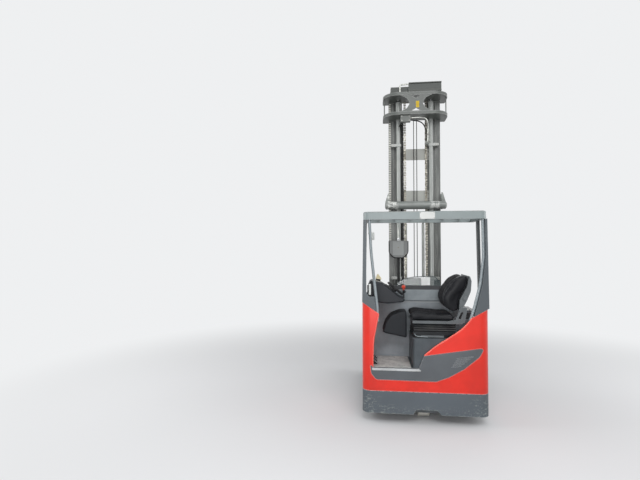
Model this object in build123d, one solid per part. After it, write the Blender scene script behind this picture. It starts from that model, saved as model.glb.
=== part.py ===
from build123d import *
from math import radians, sin, tan
import os

# A reach truck for warehouse aisles, seen from its rear: the driver sits sideways in an open cab,
# the battery stands between cab and mast, and the mast rides forward between two support legs.
# Millimetres. X to the right, Y forward from the rear face, Z up from the floor.

# Driving sizes of the whole truck
BODY_WIDTH = 1270
BODY_CORNER = 90
CAB_DEPTH = 600
GUARD_TOP = 2168
GUARD_BAND = 83
GUARD_INSET = 13
GUARD_DEPTH = 640
GUARD_EDGE = 45
GUARD_CORNER = 60
GUARD_CHAMFER = 9
WHEELBASE = 1445
FORK_LENGTH = 1150

# Clearances: between pieces that sit on each other, running fits, and moving pieces
SEAT_GAP = 0.3
RUNNING = 0.3
MOVING = 6

# Skirt, red body and insert
SKIRT_BOTTOM = 98
SKIRT_TOP = 326
SKIRT_WALL = 35
SHELL_WALL = 32
PANEL_GAP = 2
LEFT_COLUMN_TOP = 1233
RIGHT_COLUMN_TOP = 1184
RIGHT_SIDE_DROP = 184
STRIP_HEIGHT = 24

# The vent in the insert
VENT_SLOTS = 5
VENT_PITCH = 21
VENT_LENGTH = 156
VENT_SLOT = 7
VENT_DEPTH = 9
VENT_RISE = 25

# Chassis
FRAME_BOTTOM = 110
FRAME_DROP = 38
BAY_FLOOR = 270
BAY_GAP = 6
FRONT_WALL = 40
FLOOR_TOP = 550
FLOOR_THICK = 12
SILL_RISE = 10
MAT_THICK = 8
PEDESTAL_HEIGHT = 310
PEDESTAL_WALL = 12
WALL_HEIGHT = 620
DASH_HEIGHT = 192
DASH_DEPTH = 70

# Battery, one heavy block in its steel tray
BATTERY_INSET = 30
BATTERY_DEPTH = 353
BATTERY_HEIGHT = 784
HOOD_THICK = 28
HOOD_INSET = 10

# Drive wheel and its steered unit
DRIVE_Y = 275
DRIVE_RADIUS = 171.5
DRIVE_WIDTH = 114
DRIVE_RIM = 118
DRIVE_AXLE = 22
TURNTABLE_RADIUS = 150
TABLE_TOP = 376
TABLE_THICK = 22
BEARING_BORE = 120
MOTOR_RADIUS = 95
MOTOR_HEIGHT = 394
WELL_RADIUS = 205

# Support legs and load wheels
LEG_INNER = 450
LEG_BOTTOM = 45
LEG_TOP = 298
LEG_TIP = 160
LOAD_RADIUS = 142.5
LOAD_WIDTH = 113
LOAD_RIM = 110
LOAD_AXLE = 15
TRACK_LOW = 145
TRACK_HIGH = 245
TRACK_DEPTH = 24
LEG_COVER = 4

# Mast rails: three nested stages, each stepped forward of the one round it
MAST_HALF = 318
RAIL_DEPTH = 120
RAIL_FLANGE = 12
RAIL_WEB = 14
STAGE_STEP = 22
OUTER_FLANGE = 60
MIDDLE_FLANGE = 32
INNER_FLANGE = 36
RAIL_FOOT = 60
OUTER_TOP = 3676
MIDDLE_RISE = 154
INNER_RISE = 114
TIE_THICK = 10
TIE_HEIGHT = 140

# Yoke at the mast's head
YOKE_WIDTH = 782
YOKE_DEPTH = 280
YOKE_PLATE = 36
YOKE_HEIGHT = 272
YOKE_CORNER = 190
YOKE_WAIST = 74
YOKE_WEB = 20
YOKE_ROD = 7

# Cross tube behind the mast, above the guard
TUBE_WIDTH = 743
TUBE_Z = 2320
TUBE_RADIUS = 50
TUBE_ARM = 16

# Lift cylinders behind the rails
LIFT_X = 200
LIFT_BEHIND = 40
LIFT_BARREL = 25
LIFT_GLAND = 31
LIFT_ROD = 15
LIFT_DROP = 56
LIFT_CLAMPS = (1420, 3080)
HEAD_RISE = 64
HEAD_HEIGHT = 75

# Lift chains and their sheaves
CHAIN_X = (-118, 144)
CHAIN_WIDTH = 32
CHAIN_WAIST = 24
CHAIN_THICK = 6
CHAIN_PITCH = 76
CHAIN_LINKS = 43
SHEAVE_RADIUS = 27
SHEAVE_WIDTH = 28

# Free lift inside the inner stage
FREE_X = 108
FREE_BARREL = 17
FREE_ROD = 11
FREE_TOP = 2100
STOP_LOW = 90
STOP_TOP = 130

# Reach carriage and its cylinder
REACH_PLATE = 40
REACH_GAP = 25
REACH_TOP = 560
REACH_SIDE = 19
REACH_LENGTH = 290
REACH_X = 330
REACH_Z = 200
REACH_BARREL = 32
REACH_ROD = 18
ROLLER_PIN = 15

# Fork carriage, side shifter and forks
CARRIAGE_HALF = 330
CARRIAGE_SIDE = 12
BAR_HEIGHT = 90
BAR_LOW = 160
BAR_HIGH = 600
CARRIAGE_BAR = 18
SHIFTER_BAR = 18
SHIFTER_HALF = 240
FORK_FRAME = 25
FORK_FRAME_GAP = 14
PIVOT_PIN = 10
FORK_THICK = 40
FORK_WIDTH = 100
FORK_X = 230
FORK_FLOOR = 15

# Seat: where its front edge stands from the right side, and its width along the truck
SEAT_FROM_RIGHT = 760
SEAT_WIDTH = 410
RECLINER = 20
KNEE_GAP = 32

# Controls
KNOB_STEM = 9
KNOB_RISE = 150
COLUMN_SINK = 80
COLUMN_BAR = 12
SCREEN_THICK = 6

# The bright tubes along the way in
TUBE_BAR = 15

# Places worked out from the sizes
LEFT = -BODY_WIDTH / 2
RIGHT = BODY_WIDTH / 2
GUARD_LOW = GUARD_TOP - GUARD_BAND
GUARD_HALF = RIGHT - GUARD_INSET
SILL = FLOOR_TOP + SILL_RISE
RIGHT_SIDE_TOP = RIGHT_COLUMN_TOP - RIGHT_SIDE_DROP
FRAME_TOP = FLOOR_TOP - FLOOR_THICK - FRAME_DROP
WALL_Y = CAB_DEPTH - FRONT_WALL
PEDESTAL_TOP = FLOOR_TOP + PEDESTAL_HEIGHT
PEDESTAL_LEFT = -MOTOR_RADIUS - 20
WALL_TOP = FLOOR_TOP + WALL_HEIGHT
DASH_TOP = WALL_TOP + DASH_HEIGHT
DASH_Y = CAB_DEPTH - DASH_DEPTH
BATTERY_HALF = RIGHT - BATTERY_INSET
BATTERY_Y = CAB_DEPTH + BAY_GAP
FRAME_FRONT = BATTERY_Y + BATTERY_DEPTH + 2 * BAY_GAP + 4
LOAD_X = (LEG_INNER + RIGHT) / 2
LOAD_Y = DRIVE_Y + WHEELBASE
LEG_END = LOAD_Y + LEG_TIP
REACH_Y = FRAME_FRONT + REACH_GAP
REACH_START = DRIVE_Y + 55
MAST_Y = REACH_Y + REACH_PLATE
MIDDLE_Y = MAST_Y + STAGE_STEP
INNER_Y = MIDDLE_Y + STAGE_STEP
MIDDLE_TOP = OUTER_TOP + MIDDLE_RISE
INNER_TOP = OUTER_TOP + INNER_RISE
YOKE_BACK = MAST_Y - YOKE_DEPTH
YOKE_LOW = OUTER_TOP - YOKE_HEIGHT
LIFT_Y = MAST_Y - LIFT_BEHIND
LIFT_TOP = OUTER_TOP - LIFT_DROP
HEAD_LOW = OUTER_TOP + HEAD_RISE
CHAIN_Y = MIDDLE_Y - TIE_THICK - SEAT_GAP
TUBE_Y = LIFT_Y - LIFT_BARREL - TUBE_RADIUS - MOVING
SHIFTER_Y = INNER_Y + RAIL_DEPTH + MOVING + CARRIAGE_BAR + MOVING
FORK_FRAME_Y = SHIFTER_Y + SHIFTER_BAR + FORK_FRAME_GAP
FORK_BACK = FORK_FRAME_Y + FORK_FRAME
FORK_FACE_Y = FORK_BACK + FORK_THICK
FORK_SHANK = BAR_HIGH + BAR_HEIGHT + 10
PIVOT_Y = FORK_FRAME_Y + FORK_FRAME / 2
PIVOT_Z = BAR_HIGH + BAR_HEIGHT / 2
LENGTH = FORK_FACE_Y + FORK_LENGTH

# Where each stage's web and flanges lie across the truck, from the outside in
OUTER_WEB = MAST_HALF - RAIL_WEB
OUTER_EDGE = MAST_HALF - OUTER_FLANGE
MIDDLE_WEB_OUT = OUTER_EDGE - MOVING
MIDDLE_WEB = MIDDLE_WEB_OUT - RAIL_WEB
MIDDLE_EDGE = MIDDLE_WEB - MIDDLE_FLANGE
MIDDLE_FLANGE_OUT = OUTER_WEB - MOVING - 4
INNER_WEB_OUT = MIDDLE_EDGE - MOVING
INNER_WEB = INNER_WEB_OUT - RAIL_WEB
INNER_EDGE = INNER_WEB - INNER_FLANGE
INNER_FLANGE_OUT = MIDDLE_WEB - MOVING

# The steering wheel, leaning back in the console, and the stop knob's foot in it
WHEEL_SEAT = Pos(LEFT + 329, 330, WALL_TOP + 146) * Rot(0, 40, 0)
KNOB_FOOT = (LEFT + 452, 440, WALL_TOP + 55)

# The leaf-shaped insert in the rear face: across, up, corner radius
INSERT = [
    (LEFT + 80, SILL + 33, 8),
    (LEFT + 92, SILL - 60, 60),
    (LEFT + 140, SILL - 120, 50),
    (RIGHT - 525, SILL - 124, 90),
    (RIGHT - 400, SILL - 76, 100),
    (RIGHT - 250, SILL + 10, 100),
    (RIGHT - 100, SILL + 135, 60),
    (RIGHT - 62, SILL + 205, 8),
    (RIGHT - 82, SILL + 220, 8),
    (RIGHT - 645, SILL + 131, 0),
    (RIGHT - 697, SILL, 0),
    (LEFT + 117, SILL, 0),
]

# The cab's way in: from the left column's edge round the top to the sweep of the right side
ENTRY_HEAD = max(LEFT_COLUMN_TOP, RIGHT_COLUMN_TOP) + 138
ENTRY = [
    (LEFT + 109, SILL, 0),
    (LEFT + 109, SILL + 80, 60),
    (LEFT + 115, SILL + 276, 200),
    (LEFT + 171, LEFT_COLUMN_TOP - 120, 0),
    (LEFT - 9, LEFT_COLUMN_TOP, 0),
    (LEFT - 9, ENTRY_HEAD, 0),
    (RIGHT + 9, ENTRY_HEAD, 0),
    (RIGHT + 9, RIGHT_COLUMN_TOP, 0),
    (RIGHT - 165, RIGHT_COLUMN_TOP - 98, 40),
    (RIGHT - 215, RIGHT_COLUMN_TOP - 164, 60),
    (RIGHT - 274, RIGHT_COLUMN_TOP - 226, 200),
    (RIGHT - 413, SILL + 304, 300),
    (RIGHT - 543, SILL + 220, 200),
    (RIGHT - 643, SILL + 131, 0),
    (RIGHT - 695, SILL, 0),
]

# The bright tubes' routes, each run on past its two seats: across, up
LEFT_TUBE = [
    (-GUARD_HALF + 62, GUARD_LOW + 20),
    (LEFT + 94, GUARD_LOW - 341),
    (LEFT + 125, LEFT_COLUMN_TOP + 215),
    (LEFT + 155, LEFT_COLUMN_TOP - 53),
    (LEFT + 161, LEFT_COLUMN_TOP - 202),
]
RIGHT_TUBE = [
    (GUARD_HALF - 41, GUARD_LOW + 20),
    (GUARD_HALF - 35, GUARD_LOW - 385),
    (RIGHT - 79, RIGHT_COLUMN_TOP + 246),
    (RIGHT - 135, RIGHT_COLUMN_TOP + 21),
    (RIGHT - 183, RIGHT_COLUMN_TOP - 134),
]


def corner_shape(corners, index):
    """At one corner: its point, the ways back and on, half its inside angle and its bisector."""
    here = Vector(*corners[index][:2])
    back = Vector(*corners[index - 1][:2]) - here
    onward = Vector(*corners[(index + 1) % len(corners)][:2]) - here
    half_angle = radians(back.get_angle(onward)) / 2
    bisector = back.normalized() + onward.normalized()
    return here, back, onward, half_angle, bisector


def outline(corners):
    """A closed face from a table of (across, up, corner radius), each arc kept within its runs."""
    stops = []
    for index, (_, _, radius) in enumerate(corners):
        here, back, onward, half_angle, bisector = corner_shape(corners, index)
        cut = min(radius / tan(half_angle), 0.49 * back.length, 0.49 * onward.length)
        if cut < 0.01:
            stops.append((here, here, here))
            continue
        rise = cut * tan(half_angle) * (1 / sin(half_angle) - 1)
        start = here + back.normalized() * cut
        end = here + onward.normalized() * cut
        stops.append((start, here + bisector.normalized() * rise, end))
    edges = []
    for index, (start, middle, end) in enumerate(stops):
        edges.append(Line(stops[index - 1][2], start))
        if (end - start).length > 0:
            edges.append(ThreePointArc(start, middle, end))
    return make_face(edges)


def grown(corners, gap):
    """The same table with every edge moved outwards by a gap."""
    area = sum(
        corners[i - 1][0] * corners[i][1] - corners[i][0] * corners[i - 1][1]
        for i in range(len(corners))
    )
    table = []
    for index, (_, _, radius) in enumerate(corners):
        here, back, onward, half_angle, bisector = corner_shape(corners, index)
        bulge = 1 if onward.cross(back).Z * area > 0 else -1
        moved = here - bisector.normalized() * (bulge * gap / sin(half_angle))
        table.append((moved.X, moved.Y, max(radius + bulge * gap, 0)))
    return table


def across_y(corners, start, end):
    """An outline in X and Z, given depth from start to end along Y."""
    plane = Plane(origin=(0, start, 0), x_dir=(1, 0, 0), z_dir=(0, -1, 0))
    return extrude(plane * outline(corners), amount=start - end)


def across_x(corners, start, end):
    """An outline in Y and Z, given depth from start to end along X."""
    plane = Plane(origin=(start, 0, 0), x_dir=(0, 1, 0), z_dir=(1, 0, 0))
    return extrude(plane * outline(corners), amount=end - start)


def upright(corners, low, high):
    """An outline in X and Y, given height from low to high."""
    return extrude(Plane.XY.offset(low) * outline(corners), amount=high - low)


def block(x, y, z):
    """A box from three (low, high) pairs."""
    size = [high - low for low, high in (x, y, z)]
    centre = [(high + low) / 2 for low, high in (x, y, z)]
    return Pos(*centre) * Box(*size)


def rod(start, end, radius):
    """A round bar from one point to another."""
    line = Vector(*end) - Vector(*start)
    plane = Plane(origin=start, z_dir=line)
    return extrude(plane * Circle(radius), amount=line.length)


def turned(profile):
    """A turned piece about Z from a table of (radius, up)."""
    return revolve(Plane.XZ * make_face(Polyline(*profile, close=True)), Axis.Z)


def both_sides(solid):
    """A piece and its mirror image on the truck's other side."""
    return Compound(children=[solid, mirror(solid, Plane.YZ)])


def footprint(wall, front, low, high):
    """The cab's plan with round rear corners, held in by a wall thickness."""
    radius = BODY_CORNER - wall
    corners = [
        (LEFT + wall, front, 0),
        (LEFT + wall, wall, radius),
        (RIGHT - wall, wall, radius),
        (RIGHT - wall, front, 0),
    ]
    return upright(corners, low, high)


def rear_skirt():
    """The steel skirt round the rear, arched over the drive wheel."""
    skirt = footprint(0, FRAME_FRONT, SKIRT_BOTTOM, SKIRT_TOP)
    skirt -= footprint(SKIRT_WALL, FRAME_FRONT, SKIRT_BOTTOM, SKIRT_TOP)
    low = SKIRT_BOTTOM - 15
    arch = [(-125, low, 0), (-92, low + 65, 25), (120, low + 65, 25), (172, low, 0)]
    skirt -= across_y(arch, -1, SKIRT_WALL + 60)
    bay_y = (CAB_DEPTH, FRAME_FRONT + 1)
    return skirt - block((LEFT - 1, RIGHT + 1), bay_y, (BAY_FLOOR, SKIRT_TOP + 1))


def body_shell():
    """The red lower body: rear face, left column and both sides."""
    shell = footprint(0, CAB_DEPTH, SKIRT_TOP, LEFT_COLUMN_TOP)
    shell -= footprint(SHELL_WALL, CAB_DEPTH, SKIRT_TOP, LEFT_COLUMN_TOP)
    shell -= across_y(ENTRY, -1, BODY_CORNER)
    shell -= across_y(grown(INSERT, PANEL_GAP), -1, SHELL_WALL + 2)
    side_top = [
        (BODY_CORNER - 1, LEFT_COLUMN_TOP + 9, 0),
        (BODY_CORNER - 1, RIGHT_COLUMN_TOP - 24, 60),
        (190, RIGHT_SIDE_TOP, 80),
        (CAB_DEPTH + 1, RIGHT_SIDE_TOP, 0),
        (CAB_DEPTH + 1, LEFT_COLUMN_TOP + 9, 0),
    ]
    return shell - across_x(side_top, RIGHT - SHELL_WALL - 1, RIGHT + 1)


def vent_slot(index):
    """One slanted slot of the vent, each a little lower and shorter than the one above."""
    x = RIGHT - 318 - 13 * index
    z = SILL + 115 - VENT_PITCH * index
    length = VENT_LENGTH - 16 * index
    rise = VENT_RISE * length / VENT_LENGTH
    corners = [
        (x, z, 0),
        (x + length, z + rise, 0),
        (x + length - 3, z + rise - VENT_SLOT, 0),
        (x - 3, z - VENT_SLOT, 0),
    ]
    return across_y(corners, PANEL_GAP - 1, PANEL_GAP + VENT_DEPTH)


def body_insert():
    """The grey insert with its slanted louvre vent, set back against the floor's edge."""
    insert = across_y(INSERT, PANEL_GAP, SHELL_WALL - SEAT_GAP)
    for index in range(VENT_SLOTS):
        insert -= vent_slot(index)
    return insert


def step_strip():
    """The bright nosing on the edge of the cab's floor."""
    top = SILL - 2
    low = top - STRIP_HEIGHT
    nosing = [(LEFT + 100, top, 0), (LEFT + 100, low, 8), (-32, low, 8), (-60, top, 0)]
    return across_y(nosing, 0, PANEL_GAP)


def chassis_frame():
    """The heavy welded frame under the floor and battery."""
    side = RIGHT - SKIRT_WALL
    frame = footprint(SKIRT_WALL, CAB_DEPTH, FRAME_BOTTOM, FRAME_TOP)
    frame += block((-side, side), (CAB_DEPTH, FRAME_FRONT), (FRAME_BOTTOM, BAY_FLOOR))
    deck = TABLE_TOP + MOVING
    frame -= Pos(0, DRIVE_Y, 0) * Cylinder(WELL_RADIUS, 2 * deck)
    frame -= Pos(0, DRIVE_Y, 0) * Cylinder(MOTOR_RADIUS + MOVING, 2 * FRAME_TOP + 10)
    tunnel = REACH_BARREL + SEAT_GAP
    frame -= rod((REACH_X, REACH_START, REACH_Z), (REACH_X, FRAME_FRONT + 1, REACH_Z), tunnel)
    for x in (-250, 250):
        frame += rod((x, FRAME_FRONT - 5, 180), (x, REACH_Y - SEAT_GAP, 180), 30)
    ring = Cylinder(TURNTABLE_RADIUS - 5, MOVING - SEAT_GAP + 6) - Cylinder(BEARING_BORE, 20)
    return frame + Pos(0, DRIVE_Y, (deck + 6 + TABLE_TOP + SEAT_GAP) / 2) * ring


def cab_floor():
    """The floor plate, holed for the drive motor."""
    floor = footprint(SHELL_WALL, WALL_Y, FLOOR_TOP - FLOOR_THICK, FLOOR_TOP)
    return floor - Pos(0, DRIVE_Y, FLOOR_TOP) * Cylinder(MOTOR_RADIUS + MOVING, 90)


def floor_mat():
    """The worn mat in front of the seat."""
    x = (LEFT + 75, PEDESTAL_LEFT - 20)
    return block(x, (50, WALL_Y - 20), (FLOOR_TOP, FLOOR_TOP + MAT_THICK))


def front_wall():
    """The wall between cab and battery, lower beside the seat's back, with the dash band."""
    left = LEFT + SHELL_WALL
    right = RIGHT - SHELL_WALL
    step = RIGHT - 195
    low_top = min(RIGHT_SIDE_TOP, WALL_TOP) - 15
    wall = [
        (left, FRAME_TOP, 0),
        (right, FRAME_TOP, 0),
        (right, low_top, 20),
        (step, low_top, 20),
        (step, WALL_TOP, 10),
        (left, WALL_TOP, 10),
    ]
    band = [
        (DASH_Y, WALL_TOP + 25, 6),
        (DASH_Y, DASH_TOP - 42, 20),
        (DASH_Y + 20, DASH_TOP, 10),
        (CAB_DEPTH, DASH_TOP, 6),
        (CAB_DEPTH, WALL_TOP, 0),
        (WALL_Y, WALL_TOP, 0),
        (WALL_Y, WALL_TOP + 25, 0),
    ]
    return across_y(wall, WALL_Y, CAB_DEPTH) + across_x(band, LEFT + 45, step)


def seat_pedestal():
    """The hollow base under the seat, round the drive motor."""
    right = RIGHT - SHELL_WALL
    back = SHELL_WALL + 4
    wall = PEDESTAL_WALL
    shape = block((PEDESTAL_LEFT, right), (back, WALL_Y), (FLOOR_TOP, PEDESTAL_TOP))
    shape = fillet(shape.edges().filter_by(Axis.Z).group_by(Axis.X)[0], 30)
    shape &= footprint(back, CAB_DEPTH, FLOOR_TOP, PEDESTAL_TOP)
    hollow_x = (PEDESTAL_LEFT + wall, right - wall)
    hollow = block(hollow_x, (back + wall, WALL_Y - wall), (FLOOR_TOP - 1, PEDESTAL_TOP - wall))
    return shape - hollow


# The seat stands in its own frame: X back from its front edge, Y across its width, Z up from the
# pedestal
SEAT = Pos(RIGHT - SEAT_FROM_RIGHT, (SHELL_WALL + WALL_Y) / 2, PEDESTAL_TOP)
SEAT_SIDE = SEAT_WIDTH / 2
RAIL_RISE = 30
BELLOWS_LOW = 60
BELLOWS_FOLDS = 4
FOLD_HEIGHT = 22
PAN_LOW = BELLOWS_LOW + BELLOWS_FOLDS * FOLD_HEIGHT
PAN_TOP = PAN_LOW + 26

# Where the back cushion meets its shell, from the bottom up: across, up, corner radius
BACK_LINE = [(480, 284, 0), (488, 393, 60), (562, 534, 60), (583, 640, 0)]


def bellows_fold(low, height):
    """One fold of the bellows: out to its crease and in again."""
    base = Pos(235, 0, low) * Rectangle(416, SEAT_WIDTH - 44)
    top = Pos(235, 0, low + height) * Rectangle(416, SEAT_WIDTH - 44)
    up = extrude(base, amount=height / 2, taper=-35)
    return up + extrude(top, amount=-height / 2, taper=-35)


def seat_base():
    """Seat rails and the folded bellows over the suspension."""
    base = block((15, 475), (-SEAT_SIDE, SEAT_SIDE), (RAIL_RISE, BELLOWS_LOW))
    for side in (-1, 1):
        y = sorted((side * (SEAT_SIDE - 15), side * (SEAT_SIDE - 55)))
        base += block((35, 455), y, (0, RAIL_RISE))
    for index in range(BELLOWS_FOLDS):
        base += bellows_fold(BELLOWS_LOW + FOLD_HEIGHT * index, FOLD_HEIGHT)
    return SEAT * base


def seat_pan():
    """The seat's pan, the side arms with their slots, and the back's shell with its recliner."""
    pan = block((10, 465), (-SEAT_SIDE - 10, SEAT_SIDE + 10), (PAN_LOW, PAN_TOP))
    arm = [
        (350, PAN_LOW + 2, 8),
        (500, PAN_LOW + 2, 8),
        (535, PAN_LOW + 22, 10),
        (558, 300, 10),
        (550, 322, 10),
        (500, 318, 10),
        (440, 190, 20),
        (350, PAN_TOP, 0),
    ]
    slot = [(463, 200, 8), (492, 200, 8), (524, 276, 8), (500, 276, 8)]
    side = across_y(arm, -SEAT_SIDE - 20, -SEAT_SIDE - 4)
    side -= across_y(slot, -SEAT_SIDE - 21, -SEAT_SIDE - 3)
    inner = [(x + 2 * SEAT_GAP + 0.2, z, radius) for x, z, radius in BACK_LINE]
    shell = [(527, 327, 0), (563, 396, 80), (599, 485, 80), (607, 591, 20), (592, 636, 0)]
    back = across_y(shell + inner[::-1], -SEAT_SIDE - 4, SEAT_SIDE + 4)
    knob_y = SEAT_SIDE + 4
    knob = rod((538, -knob_y - 22, 415), (538, -knob_y, 415), RECLINER)
    return SEAT * (pan + side + mirror(side, Plane.XZ) + back + knob)


def seat_cushion():
    """Plain solid for the seat's cushion."""
    low = PAN_TOP + SEAT_GAP
    profile = [
        (5, low, 15),
        (440, low, 10),
        (452, 236, 20),
        (300, 240, 60),
        (60, 262, 40),
        (-20, 262, 25),
        (-15, 200, 30),
    ]
    return SEAT * across_y(profile, -SEAT_SIDE, SEAT_SIDE)


def seat_back():
    """Plain solid for the seat's back cushion, which leans on its shell."""
    front = [(540, 654, 30), (468, 625, 60), (413, 576, 80), (358, 506, 80)]
    front += [(312, 412, 60), (352, 300, 40), (424, 260, 20)]
    return SEAT * across_y(BACK_LINE + front, -SEAT_SIDE, SEAT_SIDE)


def steering_pod():
    """The drop-shaped console that carries the steering wheel."""
    profile = [
        (LEFT + 45, WALL_TOP + 130, 20),
        (LEFT + 45, WALL_TOP + 45, 20),
        (LEFT + 175, WALL_TOP + 28, 60),
        (LEFT + 263, WALL_TOP + 16, 60),
        (LEFT + 437, WALL_TOP + 34, 30),
        (LEFT + 463, WALL_TOP + 66, 18),
        (LEFT + 405, WALL_TOP + 86, 20),
        (LEFT + 262, WALL_TOP + 204, 20),
        (LEFT + 200, WALL_TOP + 243, 30),
        (LEFT + 75, WALL_TOP + 275, 40),
    ]
    pod = across_y(profile, 260, DASH_Y - SEAT_GAP)
    pod = fillet(pod.faces().sort_by(Axis.Y)[0].edges(), 14)
    pod -= WHEEL_SEAT * rod((0, 0, -COLUMN_SINK - 1), (0, 0, 90), COLUMN_BAR + RUNNING)
    x, y, low = KNOB_FOOT
    return pod - rod((x, y, low), (x, y, low + KNOB_RISE), KNOB_STEM + SEAT_GAP)


def steering_wheel():
    """The small hand wheel with a spinner knob, on its short column."""
    section = Pos(95, 40) * RegularPolygon(11.5, 8, rotation=22.5)
    wheel = revolve(Plane.XZ * section, Axis.Z)
    wheel += turned([(0, 10), (30, 10), (30, 38), (20, 50), (0, 50)])
    for turn in (90, 210, 330):
        wheel += Rot(0, 0, turn) * Pos(55, 0, 38) * Box(90, 22, 10)
    spinner = turned([(0, 40), (9, 40), (9, 62), (17, 72), (17, 84), (10, 92), (0, 92)])
    wheel += Pos(95, 0, 0) * spinner
    wheel += rod((0, 0, 20), (0, 0, -COLUMN_SINK), COLUMN_BAR)
    return WHEEL_SEAT * wheel


def stop_knob():
    """A round knob on a stem beside the console."""
    shoulder = KNOB_RISE - 38
    profile = [(0, SEAT_GAP), (KNOB_STEM, SEAT_GAP), (KNOB_STEM, shoulder), (20, shoulder + 6)]
    profile += [(22, KNOB_RISE - 22), (19, KNOB_RISE - 8), (9, KNOB_RISE), (0, KNOB_RISE)]
    return Pos(*KNOB_FOOT) * turned(profile)


def clear_screen():
    """The curved clear screen on the dash band."""
    low = DASH_TOP + SEAT_GAP
    profile = [
        (LEFT + 390, low, 0),
        (RIGHT - 399, low, 0),
        (RIGHT - 399, low + 30, 20),
        (RIGHT - 440, low + 92, 40),
        (RIGHT - 504, low + 107, 60),
        (RIGHT - 687, low + 98, 100),
        (LEFT + 475, low + 74, 100),
        (LEFT + 390, low + 24, 15),
    ]
    return across_y(profile, CAB_DEPTH - 20 - SCREEN_THICK, CAB_DEPTH - 20)


def knee_pad():
    """The rounded pad on the wall before the seat."""
    right = RIGHT - SEAT_FROM_RIGHT - KNEE_GAP
    profile = [
        (LEFT + 216, FLOOR_TOP + 318, 20),
        (LEFT + 250, FLOOR_TOP + 425, 90),
        (LEFT + 305, FLOOR_TOP + 500, 90),
        (LEFT + 398, FLOOR_TOP + 540, 60),
        (right, FLOOR_TOP + 547, 20),
        (right, FLOOR_TOP + 255, 15),
        (right - 145, FLOOR_TOP + 286, 60),
        (LEFT + 252, FLOOR_TOP + 300, 25),
    ]
    pad = across_y(profile, 330, WALL_Y)
    return fillet(pad.faces().sort_by(Axis.Y)[0].edges(), 20)


def pedals():
    """The foot pedals at the cab's left end, each a bent plate on its foot."""
    low = FLOOR_TOP + MAT_THICK
    pads = []
    for y in (150, 270, 390):
        side = [
            (LEFT + 75, low, 0),
            (LEFT + 155, low, 0),
            (LEFT + 155, low + 8, 3),
            (LEFT + 85, low + 60, 8),
            (LEFT + 75, low + 60, 4),
        ]
        pads.append(across_y(side, y, y + 80))
    return Compound(children=pads)


def above_body(gap, depth):
    """The room that the body's openings leave behind the rear face, held off by a gap."""
    room = across_y(grown(ENTRY, -gap), 0, depth)
    return room + block((LEFT, RIGHT), (0, depth), (ENTRY_HEAD - 10, GUARD_LOW - SEAT_GAP))


def rear_pillars():
    """The rear pillars: a strip and a wide foot on the left, a bowed panel on the right."""
    edge = TUBE_BAR + 2 * SEAT_GAP + 1
    post = -GUARD_HALF + 30
    (x3, z3), (x4, z4), (x5, z5) = LEFT_TUBE[2:]
    window_low = LEFT_COLUMN_TOP + 52
    beside = x4 + (window_low - z4) * (x3 - x4) / (z3 - z4)
    left = [
        (LEFT, z5, 0),
        (LEFT, LEFT_COLUMN_TOP, 0),
        (-GUARD_HALF, GUARD_LOW, 0),
        (post, GUARD_LOW, 0),
        (post, window_low + 45, 30),
        (post + 28, window_low, 30),
        (beside - edge, window_low, 0),
        (x4 - edge, z4, 0),
        (x5 - edge, z5, 0),
    ]
    foot_x, foot_z = RIGHT_TUBE[-1]
    right = [(RIGHT, foot_z - 50, 0), (RIGHT, RIGHT_COLUMN_TOP, 0), (GUARD_HALF, GUARD_LOW, 0)]
    right += [(RIGHT_TUBE[0][0] + edge + 4, GUARD_LOW, 0)]
    right += [(x + edge, z, 300) for x, z in RIGHT_TUBE[1:-1]]
    right += [(foot_x + edge + 5, foot_z, 0)]
    room = above_body(PANEL_GAP, 60)
    return Compound(children=[across_y(left, 4, 60) & room, across_y(right, 4, 60) & room])


def grab_tubes():
    """The bright tubes that edge the way in, from the guard down to the body."""
    room = above_body(SEAT_GAP, 60)
    tubes = []
    for points, radii in ((LEFT_TUBE, [900, 400, 400]), (RIGHT_TUBE, [700, 700, 500])):
        path = FilletPolyline([(x, 30, z) for x, z in points], radius=radii)
        tube = sweep(Plane(origin=path @ 0, z_dir=path % 0) * Circle(TUBE_BAR), path=path)
        tubes.append(tube & room)
    return Compound(children=tubes)


def guard_plan(inset, corner):
    """The guard's plan, held in from its edge."""
    half = GUARD_HALF - inset
    front = GUARD_DEPTH - min(inset, 40)
    rear = 4 + inset
    left = [(-half, front, corner / 2), (-half, rear, corner)]
    right = [(half, rear, corner), (half, front, corner / 2)]
    return left + right


def guard_post(foot, head, foot_z, width, y):
    """A flat post of the guard from the body up to the band."""
    post = [(foot, foot_z, 0), (foot + width, foot_z, 0)]
    post += [(head + width, GUARD_LOW, 0), (head, GUARD_LOW, 0)]
    return across_y(post, y[0], y[1])


def guard_roof():
    """The overhead guard: a deep band, bars, the left front post and the right inner post."""
    guard = upright(guard_plan(0, GUARD_CORNER), GUARD_LOW, GUARD_TOP)
    guard = chamfer(guard.faces().sort_by(Axis.Z)[-1].edges(), GUARD_CHAMFER)
    guard -= upright(guard_plan(GUARD_EDGE, GUARD_CORNER / 2), GUARD_LOW - 1, GUARD_TOP + 1)
    for share in (-5, -3, -1, 1, 3, 5):
        x = share * (GUARD_HALF - GUARD_EDGE) / 6.4
        guard += block((x - 12, x + 12), (40, GUARD_DEPTH - 30), (GUARD_TOP - 48, GUARD_TOP - 8))
    left_z = LEFT_COLUMN_TOP + SEAT_GAP
    guard += guard_post(LEFT + 2, -GUARD_HALF + 2, left_z, 28, (WALL_Y, CAB_DEPTH))
    right_z = RIGHT_SIDE_TOP + SEAT_GAP
    return guard + guard_post(RIGHT - 32, GUARD_HALF - 38, right_z, 30, (290, 340))


def battery():
    """The battery in its steel tray."""
    y = (BATTERY_Y, BATTERY_Y + BATTERY_DEPTH)
    return block((-BATTERY_HALF, BATTERY_HALF), y, (BAY_FLOOR, BAY_FLOOR + BATTERY_HEIGHT))


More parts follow.
